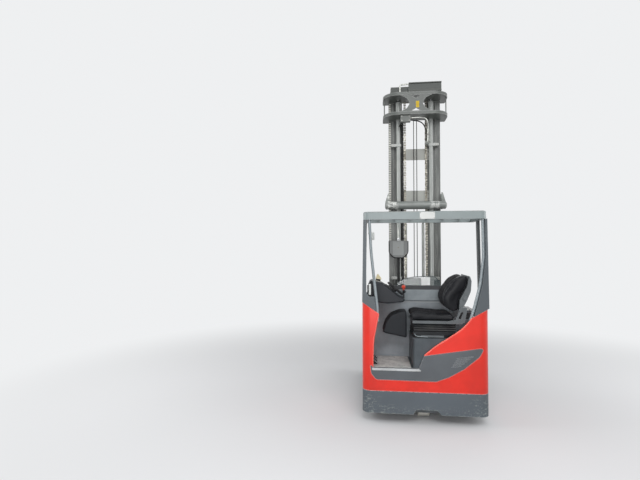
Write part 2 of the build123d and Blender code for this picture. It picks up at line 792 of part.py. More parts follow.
def battery_hood():
    """The hood over the battery."""
    low = BAY_FLOOR + BATTERY_HEIGHT + SEAT_GAP
    x = (LEFT + HOOD_INSET, RIGHT - HOOD_INSET)
    return block(x, (CAB_DEPTH, BATTERY_Y + BATTERY_DEPTH + 4), (low, low + HOOD_THICK))


def support_legs():
    """The two legs with the reach tracks, the wheel slots and the wheels' fixed axles."""
    side = [
        (FRAME_FRONT, LEG_BOTTOM, 0),
        (LEG_END - 20, LEG_BOTTOM, 20),
        (LEG_END, LEG_BOTTOM + 90, 20),
        (LEG_END, LEG_TOP - 60, 40),
        (LEG_END - 50, LEG_TOP, 40),
        (FRAME_FRONT, LEG_TOP, 0),
    ]
    leg = across_x(side, LEG_INNER, RIGHT)
    track = (FRAME_FRONT - 1, LEG_END - 18)
    leg -= block((LEG_INNER - 1, LEG_INNER + TRACK_DEPTH), track, (TRACK_LOW, TRACK_HIGH))
    reach = LOAD_RADIUS + 12
    slot_x = (LOAD_X - LOAD_WIDTH / 2 - MOVING, LOAD_X + LOAD_WIDTH / 2 + MOVING)
    leg -= block(slot_x, (LOAD_Y - reach, LOAD_Y + reach), (0, LEG_TOP - LEG_COVER))
    leg += rod((slot_x[0], LOAD_Y, LOAD_RADIUS), (slot_x[1], LOAD_Y, LOAD_RADIUS), LOAD_AXLE)
    return both_sides(leg)


def roller(x, y, z, width, outer, inner):
    """A plain ring wheel about an axis along X."""
    start = (x - width / 2, y, z)
    end = (x + width / 2, y, z)
    return rod(start, end, outer) - rod(start, end, inner)


def load_wheel(side):
    """Tyre and hub of one load wheel; side is -1 or 1."""
    x = side * LOAD_X
    tyre = roller(x, LOAD_Y, LOAD_RADIUS, LOAD_WIDTH, LOAD_RADIUS, LOAD_RIM)
    hub = roller(x, LOAD_Y, LOAD_RADIUS, LOAD_WIDTH - 6, LOAD_RIM, LOAD_AXLE + RUNNING)
    return tyre, hub


def drive_tyre():
    """The drive wheel's solid tyre."""
    return roller(0, DRIVE_Y, DRIVE_RADIUS, DRIVE_WIDTH, DRIVE_RADIUS, DRIVE_RIM)


def drive_hub():
    """The drive wheel's hub."""
    return roller(0, DRIVE_Y, DRIVE_RADIUS, DRIVE_WIDTH - 10, DRIVE_RIM, DRIVE_AXLE + RUNNING)


def drive_unit():
    """Turntable, gearbox leg, axle and motor, which steer as one."""
    low = TABLE_TOP - TABLE_THICK
    unit = Pos(0, DRIVE_Y, TABLE_TOP - TABLE_THICK / 2) * Cylinder(TURNTABLE_RADIUS, TABLE_THICK)
    inner = DRIVE_WIDTH / 2 + MOVING
    leg = [
        (DRIVE_Y - 70, DRIVE_RADIUS - 60, 50),
        (DRIVE_Y + 70, DRIVE_RADIUS - 60, 50),
        (DRIVE_Y + 90, low, 0),
        (DRIVE_Y - 90, low, 0),
    ]
    unit += across_x(leg, inner, inner + 40)
    axle = (-DRIVE_WIDTH / 2, DRIVE_Y, DRIVE_RADIUS)
    unit += rod(axle, (inner, DRIVE_Y, DRIVE_RADIUS), DRIVE_AXLE)
    return unit + Pos(0, DRIVE_Y, TABLE_TOP + MOTOR_HEIGHT / 2) * Cylinder(MOTOR_RADIUS, MOTOR_HEIGHT)


def rail(web, flange, back, low, high):
    """One upright rail from its (inner, outer) web and flanges: a web along Y between flanges."""
    web_in, web_out = web
    flange_in, flange_out = flange
    front = back + RAIL_DEPTH
    corners = [
        (flange_in, back, 0),
        (flange_out, back, 0),
        (flange_out, back + RAIL_FLANGE, 0),
        (web_out, back + RAIL_FLANGE, 0),
        (web_out, front - RAIL_FLANGE, 0),
        (flange_out, front - RAIL_FLANGE, 0),
        (flange_out, front, 0),
        (flange_in, front, 0),
        (flange_in, front - RAIL_FLANGE, 0),
        (web_in, front - RAIL_FLANGE, 0),
        (web_in, back + RAIL_FLANGE, 0),
        (flange_in, back + RAIL_FLANGE, 0),
    ]
    if web_out == flange_out:
        corners = corners[:2] + corners[6:]
    return upright(corners, low, high)


def outer_rails():
    """The outer stage's channel rails."""
    web = (OUTER_WEB, MAST_HALF)
    return both_sides(rail(web, (OUTER_EDGE, MAST_HALF), MAST_Y, RAIL_FOOT, OUTER_TOP))


def middle_rails():
    """The middle stage's rails."""
    web = (MIDDLE_WEB, MIDDLE_WEB_OUT)
    flange = (MIDDLE_EDGE, MIDDLE_FLANGE_OUT)
    return both_sides(rail(web, flange, MIDDLE_Y, RAIL_FOOT + SEAT_GAP, MIDDLE_TOP))


def inner_rails():
    """The inner stage's rails."""
    web = (INNER_WEB, INNER_WEB_OUT)
    flange = (INNER_EDGE, INNER_FLANGE_OUT)
    return both_sides(rail(web, flange, INNER_Y, RAIL_FOOT + SEAT_GAP, INNER_TOP))


def reach_carriage():
    """The frame that carries the mast between the legs, on rollers in their tracks."""
    half = LEG_INNER - MOVING
    plate = block((-half, half), (REACH_Y, MAST_Y), (RAIL_FOOT, REACH_TOP))
    window_low, window_high = REACH_TOP - 230, REACH_TOP - 60
    window = [(-170, window_low, 30), (170, window_low, 30)]
    window += [(150, window_high, 30), (-150, window_high, 30)]
    plate -= across_y(window, REACH_Y - 1, MAST_Y + 1)
    above = REACH_TOP + 1
    shoulder = [(-half - 1, above, 0), (-half - 1, REACH_TOP - 160, 0), (-half + 90, above, 0)]
    cut = across_y(shoulder, REACH_Y - 1, MAST_Y + 1)
    plate -= cut
    plate -= mirror(cut, Plane.YZ)
    arm = [
        (MAST_Y, RAIL_FOOT, 0),
        (REACH_Y + REACH_LENGTH, RAIL_FOOT, 30),
        (REACH_Y + REACH_LENGTH, TRACK_HIGH + 35, 30),
        (MAST_Y, TRACK_HIGH + 115, 0),
    ]
    for side in (-1, 1):
        x = sorted((side * half, side * (half - REACH_SIDE)))
        plate += across_x(arm, x[0], x[1])
        web = sorted((side * (half - REACH_SIDE), side * MAST_HALF))
        plate += block(web, (MAST_Y, MAST_Y + 90), (200, 216))
    foot_y = (REACH_Y, INNER_Y + RAIL_DEPTH)
    plate += block((-MAST_HALF, MAST_HALF), foot_y, (RAIL_FOOT - 15, RAIL_FOOT))
    radius = (TRACK_HIGH - TRACK_LOW) / 2 - 1.5
    z = TRACK_LOW + SEAT_GAP + radius
    for y in (REACH_Y + 60, REACH_Y + REACH_LENGTH - 60):
        for side in (-1, 1):
            plate += rod((side * half, y, z), (side * (half + 3), y, z), ROLLER_PIN)
            plate += rod((side * (half + 3), y, z), (side * (half + 26), y, z), radius)
    return plate


def reach_barrel():
    """The reach cylinder's barrel in the chassis."""
    start = (REACH_X, REACH_START, REACH_Z)
    barrel = rod(start, (REACH_X, FRAME_FRONT, REACH_Z), REACH_BARREL)
    bore = (REACH_X, REACH_START + 15, REACH_Z)
    return barrel - rod(bore, (REACH_X, FRAME_FRONT + 1, REACH_Z), REACH_ROD + RUNNING)


def reach_rod():
    """The reach cylinder's rod, fixed to the reach carriage."""
    return rod((REACH_X, REACH_START + 21, REACH_Z), (REACH_X, REACH_Y, REACH_Z), REACH_ROD)


def yoke_web(low, high):
    """The yoke's hourglass web with a small three-cornered hole above and below its waist."""
    middle = (low + high) / 2
    corners = [
        (-190, low, 0),
        (-YOKE_WAIST - 38, low + 38, 36),
        (-YOKE_WAIST, middle, 40),
        (-YOKE_WAIST - 38, high - 38, 36),
        (-190, high, 0),
        (190, high, 0),
        (YOKE_WAIST + 38, high - 38, 36),
        (YOKE_WAIST, middle, 40),
        (YOKE_WAIST + 38, low + 38, 36),
        (190, low, 0),
    ]
    y = (YOKE_BACK + 6, YOKE_BACK + 6 + YOKE_WEB)
    web = across_y(corners, y[0], y[1])
    for edge, way in ((low, 1), (high, -1)):
        hole = [(-60, edge + 8 * way, 5), (60, edge + 8 * way, 5), (0, edge + 42 * way, 5)]
        web -= across_y(hole, y[0] - 1, y[1] + 1)
    return web


def mast_yoke():
    """The yoke that ties the outer rails behind the mast's head."""
    half = YOKE_WIDTH / 2
    front = MAST_Y + 100
    plan = [
        (-half, front, 20),
        (-half, YOKE_BACK, YOKE_CORNER),
        (half, YOKE_BACK, YOKE_CORNER),
        (half, front, 20),
        (MAST_HALF, front, 0),
        (MAST_HALF, MAST_Y, 0),
        (-MAST_HALF, MAST_Y, 0),
        (-MAST_HALF, front, 0),
    ]
    high = OUTER_TOP - YOKE_PLATE
    low = YOKE_LOW + YOKE_PLATE
    frame = upright(plan, YOKE_LOW, low) + upright(plan, high, OUTER_TOP) + yoke_web(low, high)
    hole = LIFT_GLAND + SEAT_GAP
    for side in (-1, 1):
        x = side * (half - 16)
        frame += rod((x, MAST_Y - 100, low), (x, MAST_Y - 100, high), YOKE_ROD)
        x = side * LIFT_X
        frame -= rod((x, LIFT_Y, YOKE_LOW - 1), (x, LIFT_Y, OUTER_TOP + 1), hole)
    return frame


def cross_tube():
    """The tube across the mast's back with its brackets and a collar at its right end."""
    half = TUBE_WIDTH / 2
    tube = rod((-half, TUBE_Y, TUBE_Z), (half, TUBE_Y, TUBE_Z), TUBE_RADIUS)
    tube = chamfer(tube.edges().filter_by(GeomType.CIRCLE), 14, 20)
    tube += rod((half - 62, TUBE_Y, TUBE_Z), (half - 50, TUBE_Y, TUBE_Z), TUBE_RADIUS + 4)
    arm = [
        (TUBE_Y - 30, TUBE_Z, 0),
        (TUBE_Y, TUBE_Z + 45, 10),
        (MAST_Y, TUBE_Z + 150, 20),
        (MAST_Y + 60, TUBE_Z + 150, 20),
        (MAST_Y + 60, TUBE_Z - 20, 20),
        (TUBE_Y, TUBE_Z - 45, 10),
    ]
    fin = [
        (MAST_HALF, TUBE_Z - 40, 0),
        (half - 4, TUBE_Z - 40, 8),
        (half - 4, TUBE_Z + 48, 12),
        (MAST_HALF + TUBE_ARM, TUBE_Z + 160, 5),
        (MAST_HALF, TUBE_Z + 160, 0),
    ]
    plate = across_y(fin, TUBE_Y + 40, TUBE_Y + 54)
    tube += plate + mirror(plate, Plane.YZ)
    for side in (-1, 1):
        x = sorted((side * MAST_HALF, side * (MAST_HALF + TUBE_ARM)))
        tube += across_x(arm, x[0], x[1])
    return tube


def lift_barrels():
    """The two lift cylinders' barrels behind the rails, each with its gland and two clamps."""
    gland_low = YOKE_LOW + YOKE_PLATE + 10
    barrel = rod((LIFT_X, LIFT_Y, REACH_TOP), (LIFT_X, LIFT_Y, LIFT_TOP), LIFT_BARREL)
    barrel += rod((LIFT_X, LIFT_Y, gland_low), (LIFT_X, LIFT_Y, LIFT_TOP), LIFT_GLAND)
    clamp = [
        (LIFT_X - LIFT_BARREL - 8, LIFT_Y - 30, 12),
        (OUTER_EDGE + 34, LIFT_Y - 30, 12),
        (OUTER_EDGE + 34, MAST_Y - SEAT_GAP, 0),
        (LIFT_X - LIFT_BARREL - 8, MAST_Y - SEAT_GAP, 0),
    ]
    for z in LIFT_CLAMPS:
        barrel += upright(clamp, z - 16, z + 16)
    bore = rod((LIFT_X, LIFT_Y, REACH_TOP + 20), (LIFT_X, LIFT_Y, LIFT_TOP + 1), LIFT_ROD + RUNNING)
    return both_sides(barrel - bore)


def lift_rods():
    """The lift cylinders' rods under the middle stage's head."""
    low = REACH_TOP + 40
    return both_sides(rod((LIFT_X, LIFT_Y, low), (LIFT_X, LIFT_Y, HEAD_LOW), LIFT_ROD))


def sheave(x):
    """A chain sheave with its fork under the head."""
    y = CHAIN_Y - CHAIN_THICK - SHEAVE_RADIUS
    z = HEAD_LOW - SHEAVE_RADIUS - 2
    wheel = rod((x - SHEAVE_WIDTH / 2, y, z), (x + SHEAVE_WIDTH / 2, y, z), SHEAVE_RADIUS)
    for side in (-1, 1):
        cheek = sorted((x + side * SHEAVE_WIDTH / 2, x + side * (SHEAVE_WIDTH / 2 + 6)))
        wheel += block(cheek, (y - 14, y + 14), (z - 14, HEAD_LOW))
    return wheel


def middle_head():
    """The middle stage's crosshead with its flanged box, chain sheaves and ties."""
    half = MIDDLE_FLANGE_OUT
    top = HEAD_LOW + HEAD_HEIGHT
    head = block((-half, half), (LIFT_Y - 25, MIDDLE_Y), (HEAD_LOW, top))
    back = LIFT_Y - 80
    lips = [
        (LIFT_Y - 25, HEAD_LOW - 5, 0),
        (back, HEAD_LOW - 5, 4),
        (back, HEAD_LOW + 12, 4),
        (back + 16, HEAD_LOW + 20, 8),
        (back + 16, top + 18, 8),
        (back, top + 26, 4),
        (back, top + 35, 4),
        (LIFT_Y - 25, top + 35, 0),
    ]
    head += across_x(lips, -75, MIDDLE_FLANGE_OUT + 29)
    for x in CHAIN_X:
        head += sheave(x)
    for low in (300, 1300):
        head += block((-MIDDLE_WEB, MIDDLE_WEB), (MIDDLE_Y - TIE_THICK, MIDDLE_Y), (low, low + 120))
    return head


def chain_strip(x, y, low, links):
    """A leaf chain as one strip that narrows between its links."""
    right = []
    for index in range(links):
        z = low + CHAIN_PITCH * index
        right += [(CHAIN_WIDTH / 2, z), (CHAIN_WIDTH / 2, z + 0.7 * CHAIN_PITCH)]
        right += [(CHAIN_WAIST / 2, z + 0.78 * CHAIN_PITCH), (CHAIN_WAIST / 2, z + 0.92 * CHAIN_PITCH)]
    left = [(-across, up) for across, up in reversed(right)]
    points = [(x + across, y, up) for across, up in right + left]
    return extrude(make_face(Polyline(*points, close=True)), amount=CHAIN_THICK, dir=(0, -1, 0))


def lift_chains():
    """The two lift chains that hang from the middle stage's sheaves."""
    low = HEAD_LOW - SHEAVE_RADIUS - CHAIN_PITCH * CHAIN_LINKS
    return Compound(children=[chain_strip(x, CHAIN_Y, low, CHAIN_LINKS) for x in CHAIN_X])


def inner_ties():
    """The cross plates and the foot of the inner stage."""
    half = INNER_WEB_OUT - 2
    foot_y = (INNER_Y, INNER_Y + 46)
    ties = block((-INNER_EDGE, INNER_EDGE), foot_y, (STOP_LOW, STOP_TOP - SEAT_GAP))
    y = (INNER_Y - TIE_THICK, INNER_Y)
    ties += block((-half, half), y, (STOP_LOW, STOP_LOW + 160))
    for drop in (1410, 880, 150):
        low = INNER_TOP - drop
        ties += block((-half, half), y, (low, low + TIE_HEIGHT))
    return ties


def free_lift_barrels():
    """The two slim free-lift cylinders inside the inner stage."""
    y = INNER_Y + FREE_BARREL + SEAT_GAP
    low = STOP_TOP - SEAT_GAP
    barrel = rod((FREE_X, y, low), (FREE_X, y, FREE_TOP), FREE_BARREL)
    bore = rod((FREE_X, y, low + 20), (FREE_X, y, FREE_TOP + 1), FREE_ROD + RUNNING)
    return both_sides(barrel - bore)


def free_lift_head():
    """The free-lift rods and the chain sheaves between them."""
    y = INNER_Y + FREE_BARREL + SEAT_GAP
    top = FREE_TOP + 60
    head = block((-FREE_X - 18, FREE_X + 18), (y - 14, y + 14), (top, top + 36))
    for side in (-1, 1):
        x = side * FREE_X
        head += rod((x, y, STOP_TOP + 60), (x, y, top), FREE_ROD)
        head += rod((x - 8, y + 30, top + 30), (x + 8, y + 30, top + 30), 38)
    return head


def fork_carriage():
    """The carriage that climbs the inner stage on four rollers."""
    bar_y = INNER_Y + RAIL_DEPTH + MOVING
    bar = (bar_y, bar_y + CARRIAGE_BAR)
    outer = INNER_EDGE - MOVING - 1
    width = (-CARRIAGE_HALF, CARRIAGE_HALF)
    top = BAR_HIGH + BAR_HEIGHT
    carriage = block(width, bar, (BAR_LOW, BAR_LOW + BAR_HEIGHT)) + block(width, bar, (BAR_HIGH, top))
    y = INNER_Y + RAIL_DEPTH / 2
    radius = RAIL_DEPTH / 2 - RAIL_FLANGE - MOVING
    for side in (-1, 1):
        x = sorted((side * outer, side * (outer - CARRIAGE_SIDE)))
        carriage += block(x, (INNER_Y + 16, bar[1]), (STOP_TOP, top))
        for z in (STOP_TOP + 70, BAR_HIGH + 40):
            carriage += rod((side * outer, y, z), (side * (INNER_EDGE + 2), y, z), ROLLER_PIN)
            carriage += rod((side * (INNER_EDGE + 2), y, z), (side * (INNER_WEB - 4), y, z), radius)
    return carriage


def side_shifter():
    """The frame that slides sideways on the carriage's bars."""
    half = SHIFTER_HALF
    front = SHIFTER_Y + SHIFTER_BAR
    top = BAR_HIGH + BAR_HEIGHT + SEAT_GAP
    frame = block((-half, half), (SHIFTER_Y, front), (BAR_HIGH, top))
    frame += block((-half, half), (SHIFTER_Y - MOVING - CARRIAGE_BAR + 2, front), (top, top + 16))
    low_bar = (SHIFTER_Y, SHIFTER_Y + 8)
    frame += block((-half, half), low_bar, (BAR_LOW, BAR_LOW + BAR_HEIGHT))
    lug = [
        (SHIFTER_Y, PIVOT_Z - 22, 0),
        (PIVOT_Y + 18, PIVOT_Z - 18, 17),
        (PIVOT_Y + 18, PIVOT_Z + 18, 17),
        (SHIFTER_Y, PIVOT_Z + 22, 0),
    ]
    for side in (-1, 1):
        x = sorted((side * half, side * (half - 60)))
        frame += block(x, low_bar, (BAR_LOW, BAR_HIGH))
        lug_x = sorted((side * 33, side * 47))
        frame += across_x(lug, lug_x[0], lug_x[1])
    return frame - rod((-60, PIVOT_Y, PIVOT_Z), (60, PIVOT_Y, PIVOT_Z), PIVOT_PIN + RUNNING)


def fork_frame():
    """The tilting frame that carries the forks."""
    y = (FORK_FRAME_Y, FORK_BACK)
    width = (-CARRIAGE_HALF, CARRIAGE_HALF)
    top = BAR_HIGH + BAR_HEIGHT
    frame = block(width, y, (BAR_LOW, BAR_LOW + BAR_HEIGHT)) + block(width, y, (BAR_HIGH, top))
    for x in (-120, 120):
        frame += block((x - 35, x + 35), y, (BAR_LOW, top))
    frame -= block((-60, 60), (FORK_FRAME_Y - 1, FORK_FACE_Y), (BAR_HIGH - 1, top + 1))
    return frame + rod((-60, PIVOT_Y, PIVOT_Z), (60, PIVOT_Y, PIVOT_Z), PIVOT_PIN)


def forks():
    """The two forks: shank, heel and a blade that thins to its tip."""
    side = [
        (FORK_BACK, FORK_FLOOR, 30),
        (LENGTH - 60, FORK_FLOOR, 0),
        (LENGTH, FORK_FLOOR + 8, 4),
        (LENGTH, FORK_FLOOR + 18, 4),
        (FORK_FACE_Y, FORK_FLOOR + FORK_THICK, 30),
        (FORK_FACE_Y, FORK_SHANK, 0),
        (FORK_BACK, FORK_SHANK, 0),
    ]
    fork = across_x(side, FORK_X - FORK_WIDTH / 2, FORK_X + FORK_WIDTH / 2)
    tip = [
        (FORK_X - FORK_WIDTH / 2, FORK_FACE_Y - FORK_THICK - 1, 0),
        (FORK_X + FORK_WIDTH / 2, FORK_FACE_Y - FORK_THICK - 1, 0),
        (FORK_X + FORK_WIDTH / 2, LENGTH - 50, 60),
        (FORK_X + FORK_WIDTH / 4, LENGTH, 10),
        (FORK_X - FORK_WIDTH / 4, LENGTH, 10),
        (FORK_X - FORK_WIDTH / 2, LENGTH - 50, 60),
    ]
    return both_sides(fork & upright(tip, 0, FORK_SHANK))


def hose_box():
    """The box on the mast's left rail that guards the hose ends."""
    left = -MAST_HALF - 2
    profile = [
        (left, 1885, 6),
        (left + 220, 1885, 6),
        (left + 220, 1740, 10),
        (left + 160, 1680, 10),
        (left + 60, 1680, 10),
        (left, 1740, 10),
    ]
    front = LIFT_Y - LIFT_BARREL - SEAT_GAP
    box = across_y(profile, front - 75, front)
    return box + block((-MAST_HALF, -OUTER_EDGE), (front - 5, MAST_Y), (1760, 1840))


SHAPES = {
    "rear_skirt": rear_skirt,
    "body_shell": body_shell,
    "body_insert": body_insert,
    "step_strip": step_strip,
    "chassis_frame": chassis_frame,
    "cab_floor": cab_floor,
    "floor_mat": floor_mat,
    "front_wall": front_wall,
    "seat_pedestal": seat_pedestal,
    "seat_base": seat_base,
    "seat_pan": seat_pan,
    "seat_cushion": seat_cushion,
    "seat_back": seat_back,
    "steering_pod": steering_pod,
    "steering_wheel": steering_wheel,
    "stop_knob": stop_knob,
    "clear_screen": clear_screen,
    "knee_pad": knee_pad,
    "pedals": pedals,
    "rear_pillars": rear_pillars,
    "grab_tubes": grab_tubes,
    "guard_roof": guard_roof,
    "battery": battery,
    "battery_hood": battery_hood,
    "support_legs": support_legs,
    "drive_tyre": drive_tyre,
    "drive_hub": drive_hub,
    "drive_unit": drive_unit,
    "outer_rails": outer_rails,
    "reach_carriage": reach_carriage,
    "reach_barrel": reach_barrel,
    "reach_rod": reach_rod,
    "mast_yoke": mast_yoke,
    "cross_tube": cross_tube,
    "lift_barrels": lift_barrels,
    "hose_box": hose_box,
    "middle_rails": middle_rails,
    "middle_head": middle_head,
    "lift_rods": lift_rods,
    "lift_chains": lift_chains,
    "inner_rails": inner_rails,
    "inner_ties": inner_ties,
    "free_lift_barrels": free_lift_barrels,
    "free_lift_head": free_lift_head,
    "fork_carriage": fork_carriage,
    "side_shifter": side_shifter,
    "fork_frame": fork_frame,
    "forks": forks,
}


def main():
    """Write each sub-part, with the frame's origin under the truck's middle."""
    os.makedirs("parts", exist_ok=True)
    pieces = {name: make() for name, make in SHAPES.items()}
    for side, word in ((-1, "left"), (1, "right")):
        tyre, hub = load_wheel(side)
        pieces["load_tyre_" + word] = tyre
        pieces["load_hub_" + word] = hub
    for name, piece in pieces.items():
        export_step(Pos(0, -LENGTH / 2, 0) * piece, "parts/" + name + ".step")


main()
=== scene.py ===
# %% [markdown]
# # Dressing a reach truck
# A reach truck works in narrow warehouse aisles. The driver sits sideways in an open cab, the
# battery stands between cab and mast, and the whole mast rides forward between two low legs.
# The solid shapes come from the construction model, which is loaded here as a frame that never
# changes. This lesson gives each of them its real finish, upholsters the seat, and adds the
# small things that make the truck look used: chains, hoses, clamps, bolts, plates and dust.

# %% Load the fixed frame
import bpy
import bmesh
import math
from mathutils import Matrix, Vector


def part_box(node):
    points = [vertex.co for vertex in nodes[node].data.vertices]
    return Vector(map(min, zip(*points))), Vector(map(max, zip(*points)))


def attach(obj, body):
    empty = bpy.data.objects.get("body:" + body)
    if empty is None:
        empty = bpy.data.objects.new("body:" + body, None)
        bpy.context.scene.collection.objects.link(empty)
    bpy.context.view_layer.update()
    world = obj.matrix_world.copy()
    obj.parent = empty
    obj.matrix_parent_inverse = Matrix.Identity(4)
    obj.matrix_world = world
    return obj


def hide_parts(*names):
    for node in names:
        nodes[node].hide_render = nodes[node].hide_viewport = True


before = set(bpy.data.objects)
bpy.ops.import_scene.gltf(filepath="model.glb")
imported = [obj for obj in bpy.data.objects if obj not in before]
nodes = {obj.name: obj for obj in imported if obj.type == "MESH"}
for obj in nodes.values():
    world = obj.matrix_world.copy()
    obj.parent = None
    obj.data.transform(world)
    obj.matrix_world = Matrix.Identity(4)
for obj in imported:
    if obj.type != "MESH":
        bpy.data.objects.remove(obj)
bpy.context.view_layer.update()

# %% [markdown]
# Every size below is written as on a workshop drawing: millimetres, with Y counted from the
# truck's rear face. One short helper turns such a place into metres from the middle of the
# truck, which is where the frame has its origin.

# %% Places on the drawing
HALF_LENGTH = 1240.5


def at(x, y, z):
    """A place on the drawing as a point in the frame, in metres."""
    return Vector((x / 1000, (y - HALF_LENGTH) / 1000, z / 1000))


print("the rear face is at y =", at(0, 0, 0).y)

# %% [markdown]
# The picture is taken from behind the truck, a little to the left of its middle, at eye height,
# about four and a half metres away and with a wide lens. The camera is placed by measured
# numbers: its place, how far it is turned to the left, and how far it is tipped up. The lens
# length follows from the focal length in pixels on a picture 640 pixels wide.

# %% Camera
PICTURE_WIDTH = 640
FOCAL_PIXELS = 440
SENSOR = 36
TIPPED_UP = 1.30
ROLLED = 0.04
TURNED_LEFT = 6.91
SIGHT = 200
camera_data = bpy.data.cameras.new("aisle_camera")
camera_data.sensor_width = SENSOR
camera_data.sensor_fit = "HORIZONTAL"
camera_data.lens = FOCAL_PIXELS / PICTURE_WIDTH * SENSOR
camera_data.clip_end = SIGHT
camera = bpy.data.objects.new("aisle_camera", camera_data)
camera.location = at(-518, -4588, 1770)
camera.rotation_euler = [math.radians(angle) for angle in (90 + TIPPED_UP, ROLLED, TURNED_LEFT)]
bpy.context.scene.collection.objects.link(camera)
bpy.context.scene.camera = camera
print("the lens is", round(camera_data.lens, 2), "mm")

# %% [markdown]
# Five large soft lamps give the light its direction: one high behind the camera, one wide and low
# beside it that looks into the deep cab, one from each side of the truck, and one from its front,
# which draws a rim on the mast. The Standard view transform leaves the colours as they are mixed.

# %% Lamps
def lamp(name, place, target, width, height, watts):
    """A large soft lamp that faces a target."""
    data = bpy.data.lights.new(name, "AREA")
    data.shape = "RECTANGLE"
    data.size = width
    data.size_y = height
    data.energy = watts
    piece = bpy.data.objects.new(name, data)
    piece.location = place
    piece.rotation_euler = (target - place).to_track_quat("-Z", "Y").to_euler()
    bpy.context.scene.collection.objects.link(piece)


bpy.context.scene.view_settings.view_transform = "Standard"
middle = at(0, 700, 1500)
lamp("high_lamp", at(900, -4200, 5200), middle, 4, 3, 150)
lamp("cab_lamp", at(-700, -4800, 1500), at(-150, 300, 900), 3, 1.6, 105)
lamp("left_lamp", at(-4500, 300, 3200), middle, 3, 3, 90)
lamp("right_lamp", at(4500, 900, 2800), middle, 3, 3, 80)
lamp("front_lamp", at(1500, 6500, 4800), middle, 5, 4, 95)
print("lamps:", [data.name for data in bpy.data.lights])

# %% [markdown]
# A finish is a network of small nodes. Written out by hand, a sum such as `1 - mask` takes
# several lines, so one small class wraps a socket and lets Python's own operators add the maths
# nodes. A second class is the bench where a finish is made: its one method adds any other kind of
# node. Colours are blended with a Mix node, because a Math node would turn them grey.

# %% The socket class
class Wire:
    """An output socket that can be used in a sum."""

    def __init__(self, bench, socket):
        self.bench = bench
        self.socket = socket

    def _sum(self, operation, *values):
        return self.bench.node("ShaderNodeMath", {"operation": operation}, *values)

    def __add__(self, other):
        return self._sum("ADD", self, other)

    def __radd__(self, other):
        return self._sum("ADD", other, self)

    def __sub__(self, other):
        return self._sum("SUBTRACT", self, other)

    def __rsub__(self, other):
        return self._sum("SUBTRACT", other, self)

    def __mul__(self, other):
        return self._sum("MULTIPLY", self, other)

    def __rmul__(self, other):
        return self._sum("MULTIPLY", other, self)

    def __truediv__(self, other):
        return self._sum("DIVIDE", self, other)

    def __pow__(self, other):
        return self._sum("POWER", self, other)

    def kept(self):
        """The value held between 0 and 1."""
        return self.bench.node("ShaderNodeClamp", {}, self)

    def step(self, low, high):
        """0 below low, 1 above high, and a smooth rise between."""
        settings = {"interpolation_type": "SMOOTHSTEP"}
        return self.bench.node("ShaderNodeMapRange", settings, self, low, high, 0.0, 1.0)

    def most(self, other):
        """The larger of two values."""
        return self._sum("MAXIMUM", self, other)

    def wave(self):
        """The sine of the value."""
        return self._sum("SINE", self)

    def away(self):
        """How far the value is from 0."""
        return self._sum("ABSOLUTE", self)

    def part(self):
        """What is left of the value after its whole number."""
        return self._sum("FRACT", self)


print("a socket can now stand in a sum")

# %% [markdown]
# Paint charts give colours as numbers from 0 to 255 for a screen. A shader wants them linear, so
# `rgb` converts them once. `shade` makes a colour lighter or darker without changing its hue,
# which is how worn and dusty tints and painted highlights are made from the paint's own colour.

# %% Colours
def rgb(red, green, blue):
    """A chart colour as the linear numbers that a shader wants."""
    def linear(value):
        share = value / 255
        return share / 12.92 if share <= 0.04045 else ((share + 0.055) / 1.055) ** 2.4
    return (linear(red), linear(green), linear(blue), 1)


def shade(colour, factor, lift=0):
    """A lighter or darker tone of a colour."""
    return tuple(min(part * factor + lift, 1) for part in colour[:3]) + (1,)


RED = rgb(240, 52, 38)
DUST = rgb(150, 146, 138)
GRIME = rgb(48, 44, 40)
print("the truck's red is", [round(part, 3) for part in RED[:3]])

# %% [markdown]
# The bench keeps a material, or the light of the room, and its tree. `node` sets a node's
# settings first, because they decide which sockets exist, and then fills the sockets in order, by
# number or by name. `place` gives the point on the truck, in metres, split into its three parts,
# so that grain and scratches have the same scale on every piece. What several finishes share,
# such as the skin of sprayed paint, is a method too. The last step joins the surface to the
# output.

# %% The bench class
PAINT_GRAIN = 260.0


